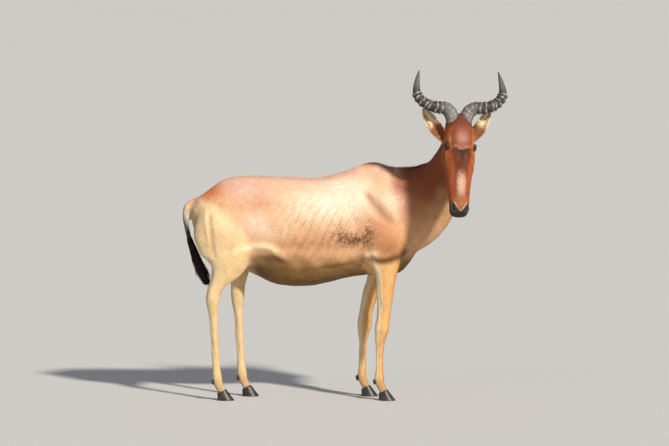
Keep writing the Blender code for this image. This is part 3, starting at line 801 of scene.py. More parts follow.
def neck_folds(points, shares):
    """Folds across the inner side of the turned neck."""
    start, end = REGIONS["neck"][:2]
    along = (points - start) @ unit(end - start)
    inner = ramp(-points[:, 1] + 0.45 * (0.42 - points[:, 0]), -0.02, 0.14)
    folds = np.sin(along * 2 * math.pi / 0.034 + 1.5 * noise(points, 0.1, 4))
    folds = folds * (0.7 + 0.5 * noise(points, 0.12, 22)) * region_sum(shares, "neck") * inner
    return 0.0009 * folds * ramp(along, 0.02, 0.08) * ramp(along, 0.3, 0.2)


def model_crown(clay):
    """Lays the skin lower beside the hairy wedge between the horns, so that they rise from there."""
    x, y, z = in_face(clay.points).T
    beside = np.abs(y) - 1.15 * (x + 0.118)
    low = ramp(beside, -0.004, 0.012) * ramp(x, -0.03, -0.055) * ramp(z, -0.02, 0.02)
    clay.points = clay.points - (0.017 * low * (np.abs(y) < 0.075))[:, None] * FACE[:, 2]


def build_skin():
    """The modelled skin, as clay."""
    points, quads = fused_flesh()
    shares = region_shares(points)
    weight = 0.55 * (1 - 0.88 * region_sum(shares, "ear") - 0.55 * region_sum(shares, "tail", "lower"))
    clay = Clay(relaxed(points, edges_of(quads), 14, weight), quads)
    shares = region_shares(clay.points)
    ear = region_sum(shares, "ear")
    depth = 0.003 - 0.0018 * region_sum(shares, "head", "lower", "tail") - 0.0026 * ear
    clay.move(-(SWELL + depth) * (1 - ear) - 0.0004 * ear)
    clay.renew()
    clay.swell(BODY_FORMS)
    clay.swell(FACE_FORMS, on_face=True)
    model_crown(clay)
    clay.renew()
    torso = 1 - region_sum(shares, "head", "ear", "neck", "lower")
    clay.side_crease(BODY_LINES, torso * ramp(np.abs(clay.points[:, 1]), 0.02, 0.05))
    model_legs(clay)
    clay.renew()
    clay.crease(FACE_LINES, *SIDES.values())
    clay.crease(FACE_MIDLINES, 1.0)
    clay.move(rib_ripples(clay.points) + neck_folds(clay.points, region_shares(clay.points))
              + 0.0009 * noise(clay.points, 0.09, 1) * (1 - region_sum(shares, "head", "ear")))
    model_lids(clay)
    clay.renew()
    return clay


# ---- markings ----
def nose_wedge(x):
    """Half the width of the coloured wedge between the nostrils."""
    return 0.04 * np.clip((0.364 - x) / 0.052, 0, 1) ** 0.8


def face_colour(q):
    """The face's colours, with painted highlights on the forehead and the bridge of the nose and
    painted shade in the nostrils and the mouth's line; q is in the head's frame.
    """
    x, y, z = q.T
    side = np.abs(y)
    both = np.stack([x, side, z], axis=1)
    waver, rough = 0.004 * noise(q, 0.03, 12), noise(q, 0.018, 5)
    front = ramp(z, 0.02, 0.045)
    edge = 0.06 - 0.2 * side + waver
    dark = front * ramp(x, edge - 0.001, edge + 0.01) * ramp(x + 0.014 * rough, 0.18, 0.095)
    dark = dark * ramp(side + 0.005 * rough + 0.18 * (x - 0.06), 0.06, 0.026)
    bridge = front * ramp(x + 0.012 * rough, 0.155, 0.215) * ramp(x, 0.32, 0.25)
    cheek = ramp(side, 0.045, 0.062) * ramp(z, 0.03, -0.01)
    wedge = nose_wedge(x)
    lip = np.maximum(ramp(x + 0.004 * rough, 0.306, 0.326) * ramp(side, wedge, wedge + 0.003),
                     ramp(x, 0.358, 0.362))
    rim = bell(side, wedge - 0.0034, 0.0026) * ramp(x, 0.3, 0.316) * ramp(x, 0.366, 0.36)
    nostril, mouth = (path_distance(both, line[2:])[0] for line in (NOSTRIL, MOUTH))
    fold = path_distance(both, NOSTRIL_FOLD)[0]
    spots = [((0.6, 0.36, 0.18), 0.75 * blob(both, row[:3], row[3:])) for row in PALE_SPOTS]
    return layered(
        CHESTNUT,
        (RUFOUS, ramp(side + waver, 0.042, 0.074)),
        ((0.44, 0.095, 0.022), 0.85 * ramp(x, 0.08, 0.18) * ramp(side, 0.02, 0.05)),
        ((0.16, 0.03, 0.012), 0.9 * ramp(x, -0.04, -0.075) * ramp(z, -0.01, 0.02)),
        # Painted highlight: the forehead's sheen.
        (FOREHEAD_SHEEN, 0.95 * front * bell(x, 0.008, 0.034) * bell(side, 0, 0.03)),
        (UMBER, 0.98 * dark),
        (CHESTNUT, 0.55 * dark * bell(side, 0.02, 0.012) * bell(x, 0.105, 0.03)),
        ((0.48, 0.21, 0.105), 0.75 * front * bell(x, edge - 0.006, 0.006) * ramp(side, 0.056, 0.04)
         * (0.8 + 0.2 * rough)),
        (UMBER, 0.6 * front * bell(x, 0.165, 0.035) * ramp(rough, -0.2, 0.5) * ramp(side, 0.034, 0.02)),
        # Painted highlight: the sheen down the bridge of the nose.
        (BRIDGE_SHEEN, 0.9 * bridge * ramp(side + 0.004 * rough, 0.034, 0.006)),
        ((0.42, 0.15, 0.045), 0.8 * ramp(x, 0.28, 0.31) * front),
        *spots,
        (UMBER, 0.85 * ramp(length(both - EYE_PLACE), 0.027, 0.0225)),
        (UMBER, 0.85 * blob(both, (0.084, 0.072, 0.006), (0.013, 0.014, 0.007))),
        ((0.26, 0.075, 0.026), 0.8 * cheek * ramp(x, 0.31, 0.22)),
        ((0.43, 0.24, 0.115), 0.75 * ramp(z, -0.045, -0.08) * ramp(x, 0.33, 0.26) * ramp(x, 0.0, 0.05)),
        (BLACK, 0.97 * lip),
        ((0.72, 0.51, 0.3), 0.85 * rim * ramp(z, -0.01, 0.004) * (0.85 + 0.25 * rough)),
        ((0.075, 0.062, 0.058), 0.8 * lip * bell(nostril, 0.0075, 0.0022) * (z < 0.024)),
        # Painted shade inside the nostrils.
        ((0.003, 0.003, 0.003), ramp(nostril, 0.0052, 0.0036)),
        ((0.06, 0.05, 0.046), 0.7 * ramp(x, 0.3, 0.33) * bell(mouth, 0.0065, 0.003)),
        # Painted shade in the mouth's crease.
        ((0.004, 0.003, 0.003), ramp(mouth, 0.0034, 0.002) * ramp(x, 0.275, 0.305)),
        ((0.36, 0.24, 0.15), 0.6 * bell(fold, 0, 0.0036) * ramp(x, 0.372, 0.356)),
        ((0.08, 0.05, 0.035), 0.85 * ramp(x, 0.28, 0.31) * ramp(z, -0.03, -0.04)))


def ear_colour(t):
    """A pale cup, brown at the base and the tip; the darker brown over the lower part is partly the
    ear's own base colour and partly the horn's shadow painted in. t is how far along the ear.
    """
    return layered(EAR_PALE, ((0.23, 0.085, 0.034), ramp(t, 0.6, 0.4)),
                   ((0.4, 0.14, 0.045), ramp(t, 0.26, 0.1)),
                   ((0.3, 0.14, 0.07), 0.7 * ramp(t, 0.93, 1.02)))


def markings(points, normals, shares):
    """The coat's colour, with painted shade and highlight in places, and its gloss, at each point."""
    x, y, z = points.T
    ahead, _, up = normals.T
    neck, head, fore, hind, lower, tail = (
        region_sum(shares, word) for word in ("neck", "head", "fore", "hind", "lower", "tail"))
    waver = noise(points, 0.11, 2)
    flank = ramp(np.abs(y), 0.03, 0.07)
    rump = ramp(x + 0.45 * (z - 0.85) + 0.012 * waver, -0.5, -0.6) * ramp(z + 0.02 * waver, 1.03, 0.96)
    nape = mix((0.43, 0.19, 0.075), (0.3, 0.085, 0.026), ramp(up, 0.0, 0.45))
    start, end = REGIONS["neck"][:2]
    along = share_along(points, start, end)
    below = start[2] + np.clip(along, 0, 1) * (end[2] - start[2]) - z
    throat = layered((0.23, 0.058, 0.018), ((0.42, 0.145, 0.05), ramp(along, 0.4, 1.0)),
                     (CHESTNUT, 0.6 * ramp(up, 0.25, 0.7)),
                     ((0.5, 0.29, 0.12), 0.7 * ramp(below + 0.01 * waver, 0.03, 0.13)))
    foreleg = layered(LEG_TAN, ((0.92, 0.72, 0.45), 0.9 * ramp(ahead, -0.1, -0.55)),
                      ((0.56, 0.27, 0.085), 0.6 * ramp(ahead, 0.35, 0.85)))
    hindleg = mix((0.72, 0.5, 0.25), CREAM, ramp(ahead, 0.1, -0.5))
    patch = sum(strength * side_blob(points, *place) for *place, strength in RUBBED)
    bent = points + 0.016 * np.stack([noise(points, 0.06, seed) for seed in (31, 32, 33)], axis=1)
    spots = noise(bent, 0.03, 6) + 0.9 * noise(bent, 0.014, 16)
    q = in_face(points)
    colour = layered(
        SAND,
        # The back's colour with a painted pinkish sheen, on faces that look up.
        (BACK_AND_SHEEN, ramp(up + 0.08 * waver, 0.3, 0.85) * ramp(z, 0.9, 1.0)),
        (RUFOUS, 0.5 * ramp(z - 0.015 * waver, 1.15, 1.18) * ramp(x, 0.06, 0.14)),
        # Painted shade: orange-brown low on the flank, then dark olive-brown under the belly, reaching
        # higher on faces that look down.
        ((0.42, 0.235, 0.105), 0.8 * ramp(z + 0.012 * waver, 0.76, 0.69) * ramp(x, -0.6, -0.5)),
        (BELLY_SHADE, 0.9 * ramp(z + 0.08 * up + 0.015 * waver, 0.715, 0.615)),
        (CREAM, 0.9 * rump),
        ((0.64, 0.18, 0.045), 0.95 * side_blob(points, -0.675, 1.045, 0.068, 0.05)),
        ((0.62, 0.38, 0.2), 0.7 * rump * ramp(z, 0.9, 0.8)),
        # Painted shade on the buttock, where its faces look back.
        ((0.36, 0.255, 0.145),
         0.6 * ramp(-ahead, 0.1, 0.8) * ramp(x, -0.66, -0.7) * ramp(z, 0.99, 0.9)),
        (nape, ramp(neck + head, 0.7, 0.95) * ramp(head, 0.05, 0.25)),
        (throat, ramp(neck + 0.05 * waver, 0.5, 0.95)),
        (foreleg, ramp(fore, 0.4, 0.8) * ramp(z, 0.76, 0.68)),
        (hindleg, ramp(hind, 0.3, 0.7) * ramp(z, 0.9, 0.74)),
        # Tints, among them painted highlight and painted shade.
        *((row[4:7], row[7] * flank * side_blob(points, *row[:4])) for row in TINTS_AND_PAINTED_LIGHT),
        ((0.13, 0.048, 0.022),
         0.92 * np.clip(patch, 0, 1) * flank * ramp(spots + 1.1 * patch, 0.45, 1.15)),
        # Painted shade in the creases, and painted highlight along the flank fold's crest.
        *((row[1:4], row[4] * flank * side_line(points, row[5:], row[0])) for row in SHADE_AND_HIGHLIGHT_LINES),
        ((0.34, 0.2, 0.095), 0.45 * lower * ramp(z, 0.14, 0.08)),
        (GREY, tail * ramp(z, 0.97, 0.93)),
        (BLACK, 0.95 * tail * ramp(z + 1.5 * (x + 0.8), 0.925, 0.86)),
        (face_colour(q), ramp(head, 0.45, 0.85)),
        *((ear_colour(share_along(points, *ear_axis(side))), region_sum(shares, "ear_" + side))
          for side in SIDES))
    down_face, aside = q[:, 0], np.abs(q[:, 1])
    gloss = 0.22 + 0.4 * head * ramp(q[:, 2], 0.02, 0.06) * ramp(aside, 0.046, 0.022)
    gloss = gloss + 0.15 * ramp(up, 0.0, 0.6)
    gloss = gloss * (0.25 + 0.75 * ramp(colour.max(axis=1), 0.1, 0.35))
    gloss = gloss + 0.3 * ramp(down_face, 0.335, 0.35) * ramp(aside, 0.01, 0.024) * head
    colour = colour * (1 + 0.035 * noise(points, 0.06, 11) + 0.025 * noise(points, 0.016, 13))[:, None]
    # Painted shade and highlight along the rib ripples: darker in their troughs, lighter on their
    # crests.
    colour = colour * (1 + 35 * rib_ripples(points))[:, None]
    return np.clip(colour, DARKEST, LIGHTEST), np.clip(gloss, 0, 1)


# ---- materials ----
class Surface:
    """A node material: constants are set on its shader's own sockets, nodes are fed into it."""

    def __init__(self, name, **values):
        self.material = bpy.data.materials.new(name)
        self.material.use_nodes = True
        self.tree = self.material.node_tree
        self.shader = self.tree.nodes["Principled BSDF"]
        for key, value in values.items():
            self.shader.inputs[key.replace("_", " ")].default_value = value

    def feed(self, target=None, **links):
        """Links outputs to the inputs of a node or, as it stands, of the shader."""
        for key, source in links.items():
            self.tree.links.new(source, (target or self.shader).inputs[key.replace("_", " ")])

    def node(self, kind, settings=(), inputs=(), **links):
        """A new node with its settings, values and links; gives its outputs."""
        made = self.tree.nodes.new("ShaderNode" + kind)
        for key, value in dict(settings).items():
            setattr(made, key, value)
        for key, value in dict(inputs).items():
            made.inputs[key].default_value = value
        self.feed(made, **links)
        return made.outputs

    def noise(self, place, scale, detail, roughness=0.5):
        values = {"Scale": scale, "Detail": detail, "Roughness": roughness}
        return self.node("TexNoise", (), values, Vector=place)["Fac"]

    def between(self, value, low, high, start=0.0, end=1.0):
        """The value from start to end, as a value from low to high."""
        values = {"From Min": start, "From Max": end, "To Min": low, "To Max": high}
        return self.node("MapRange", (), values, Value=value)["Result"]

    def bump(self, height, strength, depth):
        values = {"Strength": strength, "Distance": depth}
        self.feed(Normal=self.node("Bump", (), values, Height=height)["Normal"])

    def painted(self):
        return self.node("VertexColor", {"layer_name": "coat"})

    def streaks(self):
        return self.node("Attribute", {"attribute_name": "streak"})["Vector"]

    def hair(self, grain, dark, light, dull):
        """The painted colour made uneven by a grain; the painted gloss makes it less dull."""
        painted = self.painted()
        tone = self.between(grain, dark, light, 0.3, 0.7)
        blend = self.tree.nodes.new("ShaderNodeMix")
        blend.data_type, blend.blend_type = "RGBA", "MULTIPLY"
        blend.inputs[0].default_value = 1.0
        self.tree.links.new(painted["Color"], blend.inputs[6])
        self.tree.links.new(tone, blend.inputs[7])
        self.feed(Base_Color=blend.outputs[2], Roughness=self.between(painted["Alpha"], dull, 0.36))


def skin_surface():
    """Short hair as streaks along the lie of the coat, in colour and as bump."""
    made = Surface("skin_hair", Sheen_Weight=0.03, Sheen_Roughness=0.45)
    grain = made.noise(made.streaks(), 700.0, 3.0, 0.6)
    made.hair(grain, 0.72, 1.22, 0.78)
    made.bump(grain, 0.55, 0.0015)
    return made.material


def tuft_surface():
    """Tufts: a finer change of tone, because each tuft is its own streak."""
    made = Surface("coat_hair", Sheen_Weight=0.03, Specular_IOR_Level=0.24)
    made.hair(made.noise(made.node("TexCoord")["Object"], 260.0, 2.0), 0.86, 1.12, 0.72)
    return made.material


def eye_surface():
    made = Surface("wet_eye", Roughness=0.04)
    made.feed(Base_Color=made.painted()["Color"])
    return made.material


def horn_surface():
    made = Surface("horn_sheath", Roughness=0.52, Specular_IOR_Level=0.32)
    made.feed(Base_Color=made.painted()["Color"])
    made.bump(made.noise(made.streaks(), 420.0, 4.0), 0.5, 0.0024)
    return made.material


def hoof_surface():
    """Dark horn with growth lines round it."""
    made = Surface("hoof_horn", Roughness=0.42)
    place = made.node("TexCoord")["Object"]
    values = {"Scale": 55.0, "Distortion": 2.5, "Detail": 2.0, "Detail Scale": 1.5}
    lines = made.node("TexWave", {"bands_direction": "Z"}, values, Vector=place)["Fac"]
    colour = made.tree.nodes.new("ShaderNodeValToRGB")
    made.feed(colour, Fac=made.noise(place, 45.0, 4.0))
    ends = ((0.35, (0.01, 0.008, 0.007, 1)), (0.75, (0.06, 0.045, 0.036, 1)))
    for stop, (position, tint) in zip(colour.color_ramp.elements, ends):
        stop.position, stop.color = position, tint
    made.feed(Base_Color=colour.outputs["Color"])
    made.bump(lines, 0.5, 0.0004)
    return made.material


# ---- the coat ----
def strand_mesh(name, paths, across, width, thick, colours, gloss, facing, spots):
    """Closed tapering tufts as one mesh. paths and colours are (tufts, k, 3), from root to tip; each
    ring between has three corners. thick is a share of the width, facing is how the tufts are lit, and
    spots is each root's place on the unwrap."""
    count, k, _ = paths.shape
    rings = k - 2
    along = unit(paths[:, 2:] - paths[:, :-2])
    side = unit(across[:, None] - along * dots(across[:, None], along))
    side = side * np.where(dots(np.cross(along, side), facing[:, None]) < 0, -1, 1)
    taper = np.array([1.0]) if rings == 1 else np.linspace(1.0, 0.42, rings)
    half = side * (0.5 * width[:, None] * taper)[..., None]
    rise = np.cross(along, side) * ((thick * width)[:, None] * taper)[..., None]
    middle = paths[:, 1:-1]
    corners = np.stack([middle - half, middle + rise, middle + half], axis=2).reshape(count, -1, 3)
    points = np.concatenate([paths[:, :1], corners, paths[:, -1:]], axis=1)
    tip = rings * 3 + 1
    faces = []
    for i, j in ((0, 1), (1, 2), (2, 0)):
        faces += [(0, 1 + i, 1 + j), (tip, tip - 3 + j, tip - 3 + i)]
        for a in range(1, tip - 3, 3):
            faces += [(a + i, a + 3 + j, a + j), (a + i, a + 3 + i, a + 3 + j)]
    whole = (np.array(faces) + (tip + 1) * np.arange(count)[:, None, None]).reshape(-1, 3)
    mesh = mesh_from(name, points.reshape(-1, 3) + BASE, whole)
    ring_of = [0, *np.repeat(np.arange(1, k - 1), 3), k - 1]
    paint(mesh, colours[:, ring_of].reshape(-1, 3), np.repeat(np.broadcast_to(gloss, count), tip + 1))
    local = [(0.5, 0), *((u, r / (k - 1)) for r in range(1, k - 1) for u in (0, 0.5, 1)), (0.5, 1)]
    uv = spots[:, None] + PATCH * (np.array(local) - 0.5)
    mesh.uv_layers.new(name="OFBake").data.foreach_set("uv", flat32(uv.reshape(-1, 2)[whole.ravel()]))
    own = unit(points - points.mean(axis=1, keepdims=True))
    soft = unit(0.8 * facing[:, None] + 0.35 * own)
    mesh.normals_split_custom_set_from_vertices(soft.reshape(-1, 3).astype(np.float32))
    return mesh


# The unwrap: each region is a cell, first corner and size; along it one way and round it the other.
CELLS = {
    "trunk": (0.01, 0.51, 0.98, 0.48), "neck": (0.01, 0.26, 0.36, 0.23),
    "head": (0.39, 0.26, 0.36, 0.23), "tail": (0.77, 0.4, 0.22, 0.09),
    "ear_right": (0.77, 0.26, 0.1, 0.12), "ear_left": (0.89, 0.26, 0.1, 0.12),
}
CELLS.update({name: (0.01 + 0.1225 * i, 0.01, 0.115, 0.23)
              for i, name in enumerate(name for name in REGIONS if name not in CELLS)})


def unwrap(points, shares):
    """Each root's place on an unwrap of the skin: along its region's core, and round it."""
    owner = shares.argmax(axis=1)
    spots = np.zeros((len(points), 2))
    for i, (name, (start, end, *_)) in enumerate(REGIONS.items()):
        mine = points[owner == i]
        axis = unit(np.subtract(end, start))
        first = unit(np.cross(axis, (0, 1, 0.02)))
        away = mine - start
        turn = np.arctan2(away @ np.cross(axis, first), away @ first) / (2 * math.pi) + 0.5
        u, v, wide, high = CELLS[name]
        along = np.clip((share_along(mine, start, end) + 0.35) / 1.7, 0, 1)
        spots[owner == i] = np.stack([u + wide * along, v + high * turn], axis=1)
    return spots


def coat_measures(points, normals, shares):
    """Density per square metre, length, width, lift and disorder of the coat at each point."""
    share = {word: region_sum(shares, word) for word in COAT}
    share["rest"] = np.clip(1 - sum(share.values()), 0, 1)
    density, reach, width = (sum(row[i] * share[word] for word, row in COAT.items())
                             for i in range(3))
    x, y, z = points.T
    q = in_face(points)
    head = share["head"]
    muzzle = head * ramp(q[:, 0], 0.2, 0.36)
    density = density + 80e3 * muzzle
    width = width - 0.0004 * muzzle
    crest = ramp(normals[:, 2], 0.8, 0.97) * ramp(x, 0.08, 0.18) * ramp(z, 1.04, 1.09)
    crest = np.clip(crest * (1 - region_sum(shares, "head", "ear")), 0, 1)
    elbow = side_blob(points, 0.04, 0.8, 0.085, 0.036) * ramp(np.abs(y), 0.06, 0.11)
    crown = blob(q, (-0.105, 0, 0.06), (0.035, 0.03, 0.03)) * head
    sheath = blob(points, (-0.38, 0, 0.56), (0.04, 0.02, 0.03))
    near_eye = ramp(length(q * (1, 0, 1) + np.abs(q) * (0, 1, 0) - EYE_PLACE), 0.036, 0.024)
    reach = reach - 0.003 * muzzle - 0.0025 * share["lower"] * ramp(z, 0.3, 0.1) + 0.012 * crest
    reach = reach * (1 - 0.5 * near_eye) + 0.012 * crown + 0.018 * sheath
    lift = 0.03 + 0.28 * crest + 0.07 * elbow + 0.3 * crown + 0.3 * sheath
    return density * (1 + near_eye), reach, width * (1 - 0.4 * near_eye), lift, 0.12 + 0.3 * elbow


def bare(points):
    """True where no tuft grows: the eyes' openings, the nostrils, the lips and the nose's front."""
    x, y, z = in_face(points).T
    side = np.stack([x, np.abs(y), z], axis=1)
    r, across, up, out = on_eyeball(side - EYE_PLACE, 1.0)
    none = (lid_gap(across, up) < 0.0022) & (out > 0) & (r < 0.03)
    for line in (MOUTH, NOSTRIL):
        none |= (path_distance(side, line[2:])[0] < 1.3 * line[0]) & (x > 0.29)
    return none | (x > 0.345) & (side[:, 1] > nose_wedge(x) + 0.002) & (z > -0.006 + 0.3 * side[:, 1])


def scattered(clay, rng):
    """Roots over the skin, as dense as the coat asks: places and normals."""
    corner = clay.points[clay.quads]
    middle = corner.mean(axis=1)
    area = 0.5 * length(np.cross(corner[:, 2] - corner[:, 0], corner[:, 3] - corner[:, 1]))
    flat = unit(clay.normals[clay.quads].sum(axis=1))
    wanted = area * coat_measures(middle, flat, region_shares(middle))[0] * COAT_SHARE
    count = np.floor(wanted + rng.random(len(wanted))).astype(int)
    chosen = clay.quads[np.repeat(np.arange(len(count)), count)]
    u, v = rng.random((2, len(chosen), 1))
    weights = np.concatenate([(1 - u) * (1 - v), u * (1 - v), u * v, (1 - u) * v], axis=1)[..., None]
    points = (clay.points[chosen] * weights).sum(axis=1)
    keep = ~bare(points)
    return points[keep], unit((clay.normals[chosen] * weights).sum(axis=1))[keep]


def skin_finder(clay):
    """A way to bring points near the skin down onto it; it gives them and the normals there."""
    tree = KDTree(len(clay.points))
    for i, point in enumerate(clay.points.tolist()):
        tree.insert(point, i)
    tree.balance()

    def settle(points):
        near = np.array([tree.find(point)[1] for point in points.tolist()])
        normals = clay.normals[near]
        return points - normals * dots(points - clay.points[near], normals), normals
    return settle


def grow_coat(clay, material):
    """The short coat: one thin tuft from each root, in pieces by region."""
    rng = np.random.default_rng(SEEDS["coat"])
    points, normals = scattered(clay, rng)
    shares = region_shares(points)
    _, reach, width, lift, messy = coat_measures(points, normals, shares)
    lie = hair_lie(points, normals, shares)
    count = len(points)
    angle = (messy * rng.normal(size=count))[:, None]
    lie = lie * np.cos(angle) + np.cross(normals, lie) * np.sin(angle)
    across = np.cross(normals, lie)
    reach = reach * rng.uniform(0.75, 1.25, count)
    width = width * rng.uniform(0.8, 1.2, count)
    lift = lift * rng.uniform(0.6, 1.5, count)
    settle = skin_finder(clay)
    paths = [points - normals * ROOT_DEPTH]
    for share, rise, least in ((0.45, 0.4, 0.0004), (1.0, 1.0, 0.0002)):
        place, out = settle(points + lie * (share * reach)[:, None])
        paths.append(place + out * (rise * lift * reach + least)[:, None])
    paths = np.stack(paths, axis=1)
    colour, gloss = markings(points, normals, shares)
    shade = (1 + 0.085 * rng.normal(size=(count, 1))).clip(0.7, 1.3)
    warmth = 1 + 0.04 * rng.normal(size=(count, 3))
    root_to_tip = np.array([0.84, 1.0, 1.1])[:, None]
    colours = np.maximum((colour * shade * warmth)[:, None] * root_to_tip, 0.002)
    spots = unwrap(points, shares)
    facing = unit(normals - 0.6 * ripple_slope(points))
    owner = np.array(list(REGIONS))[shares.argmax(axis=1)]
    groups = {"trunk": ("trunk", "tail"), "neck": ("neck",), "head": ("head", "ear_right", "ear_left"),
              "legs": tuple(name for name in REGIONS if "upper" in name or "lower" in name)}
    for label, members in groups.items():
        mine = np.flatnonzero(np.isin(owner, members))
        order = mine[np.argsort(points[mine, 0], kind="stable")]
        slot = "rufous" if label in ("head", "neck") else "tawny"
        for i, some in enumerate(np.array_split(order, max(1, math.ceil(len(order) / MOST_TUFTS)))):
            mesh = strand_mesh("coat", paths[some], across[some], width[some], TUFT_THICK,
                               colours[some], gloss[some], facing[some], spots[some])
            piece(f"coat_{label}_{i + 1}", mesh, material, slot)


def long_hair(name, strands, sag, width, rng, material, *nodes, colour=BLACK, slot="black_hair"):
    """Longer locks of six points. strands holds groups of roots, tips and how they are lit."""
    roots, tips, facing = map(np.concatenate, zip(*strands))
    shape = roots.shape
    t = np.linspace(0, 1, 6)[:, None]
    bow = np.broadcast_to(sag, shape)[:, None] * (4 * t * (1 - t))
    paths = roots[:, None] + (tips - roots)[:, None] * t + bow
    across = unit(np.cross(tips - roots, rng.normal(size=shape)))
    shade = (1 + 0.25 * rng.normal(size=(len(roots), 1))).clip(0.5, 1.6)
    colours = (colour * shade)[:, None] * np.linspace(0.8, 1.15, 6)[:, None]
    spots = unwrap(roots, region_shares(roots))
    width = np.broadcast_to(width, len(roots))
    mesh = strand_mesh(name, paths, across, width, LOCK_THICK, colours, LOCK_GLOSS, unit(facing), spots)
    piece(name, mesh, material, slot, *nodes)


def tail_hair(material):
    """The black tuft, and the hairs that start higher on the tail."""
    rng = np.random.default_rng(SEEDS["tail"])
    rows, count = spline(TAIL, 12), TAIL_HAIRS
    steps = np.arange(len(rows))

    def tail_at(share):
        return np.stack([np.interp(share * steps[-1], steps, column) for column in rows.T], axis=1)
    at = rng.uniform(0.3, 0.86, count) ** 0.9
    angle = rng.uniform(0, 2 * math.pi, count)
    out = np.stack([np.cos(angle), np.sin(angle), 0 * angle], axis=1)
    place = tail_at(at)
    depth = 0.55 * place[:, 3:].max(axis=1) * (1 - 0.4 * ramp(at, 0.3, 0.7))
    reach = np.minimum(at + rng.uniform(0.16, 0.34, count), 1.0)
    end = tail_at(reach)
    spread = rng.uniform(0.3, 1.1, count) * np.minimum(end[:, 3], 0.03)
    spread = spread * (0.6 + 0.4 * ramp(reach, 0.55, 0.88))
    tips = end[:, :3] + out * spread[:, None] + rng.normal(size=(count, 3)) * 0.005
    sag = out * 0.004 + rng.normal(size=(count, 3)) * 0.002
    strands = [(place[:, :3] + out * depth[:, None], tips, out)]
    long_hair("tail_hair", strands, sag, rng.uniform(0.0022, 0.0042, count), rng, material, "tail_tuft")


def ear_hair(material):
    """Pale hairs that grow inside each ear, from its edges."""
    rng = np.random.default_rng(SEEDS["ears"])
    strands, count = [], EAR_HAIRS
    for side, s in SIDES.items():
        rings = np.array(ear_rings(side, ROOT_DEPTH))
        inner = rings[:, rings.shape[1] // 2:]
        at = rng.uniform(0.4, 0.93, count)
        edge = rng.integers(0, 2, count)
        one, other = rng.integers(1, 4, count), rng.integers(1, 4, count)
        corner = np.where(edge == 1, one, inner.shape[1] - 1 - other)
        index = np.round(at * (len(rings) - 1)).astype(int)
        root = inner[index, corner]
        middle = inner.mean(axis=1)[index]
        ahead = rings.mean(axis=1)[np.minimum(index + 6, len(rings) - 1)]
        tip = root + (middle - root) * rng.uniform(0.3, 0.7, (count, 1))
        tip = tip + (ahead - middle) * rng.uniform(0.3, 0.6, (count, 1))
        strands.append((root, tip, np.broadcast_to(LEVEL @ (1.0, 0.35 * s, 0.0), tip.shape)))
    sag = rng.normal(size=(2 * count, 3)) * 0.0012
    long_hair("ear_hair", strands, sag, rng.uniform(0.0006, 0.0011, 2 * count), rng, material,
              colour=(0.74, 0.54, 0.34), slot="cream")


def lashes(material):
    """Dark lashes along each upper lid."""
    rng = np.random.default_rng(SEEDS["lashes"])
    strands = []
    for s in SIDES.values():
        across = rng.uniform(-0.0135, 0.014, LASHES)
        rise = LID_RISE * (1 - (across / LID_LENGTH) ** 2) ** 0.62 + 0.0012
        out = np.sqrt(EYE_RADIUS ** 2 - across ** 2 - rise ** 2) + 0.0012
        root = np.stack([across, rise, out], axis=1)
        reach = (0, 0.25, 1) + across[:, None] * (0.22 / LID_LENGTH, 0, 0)
        reach = unit(reach + 0.12 * rng.normal(size=root.shape))
        reach = reach * rng.uniform(0.006, 0.011, (LASHES, 1))
        facing = np.broadcast_to(FACE @ eye_axes(s)[:, 2], root.shape)
        strands.append((from_eye(root, s), from_eye(root + reach, s), facing))
    long_hair("lashes", strands, (0, 0, -0.0008), 0.0007, rng, material)


def whiskers(clay, material):
    """Stiff dark hairs round the mouth, on the lips and the chin."""
    rng = np.random.default_rng(SEEDS["whiskers"])
    x, y, z = in_face(clay.points).T
    lips = (x > 0.285) & (z < 0.004) & (z > -0.07) & (np.abs(y) > 0.016)
    some = rng.choice(np.flatnonzero(lips), WHISKERS, replace=False)
    roots, normals = clay.points[some], clay.normals[some]
    reach = unit(normals + FACE @ (-0.45, 0, -0.45) + 0.25 * rng.normal(size=roots.shape))
    tips = roots + reach * rng.uniform(0.007, 0.019, (WHISKERS, 1))
    long_hair("whiskers", [(roots, tips, normals)], (0, 0, -0.0012), 0.0006, rng, material)


# ---- eyes, horns, hooves ----
def eye_piece(side, material):
    """An eyeball with a clear bulge, a brown iris and a long level pupil."""
    s = SIDES[side]
    a, b = np.meshgrid(np.linspace(0, math.pi, 40), turns(64), indexing="ij")
    ball = np.stack([np.sin(a) * np.cos(b), np.sin(a) * np.sin(b), np.cos(a)], axis=-1)
    radius = EYE_RADIUS + BULGE * ramp(a, 0.75, 0.0)
    bm = bmesh.new()
    loft_into(bm, from_eye(ball * radius[..., None], s) + BASE)
    bmesh.ops.remove_doubles(bm, verts=bm.verts, dist=1e-6)
    bmesh.ops.recalc_face_normals(bm, faces=bm.faces)
    mesh = finished(bm, "eye")
    across, up, out = in_eye(places_of(mesh) - BASE, s).T / EYE_RADIUS
    pupil = ramp(np.hypot(across / 0.42, up / 0.2), 1.08, 0.92) * (out > 0)
    colour = layered((0.055, 0.022, 0.008),
                     ((0.006, 0.003, 0.002), ramp(np.hypot(across, up), 0.58, 0.7)),
                     ((0.001, 0.001, 0.0015), pupil))
    paint(mesh, colour, 1.0)
    piece("eyeball_" + side, mesh, material, "eye", "eye_" + side)


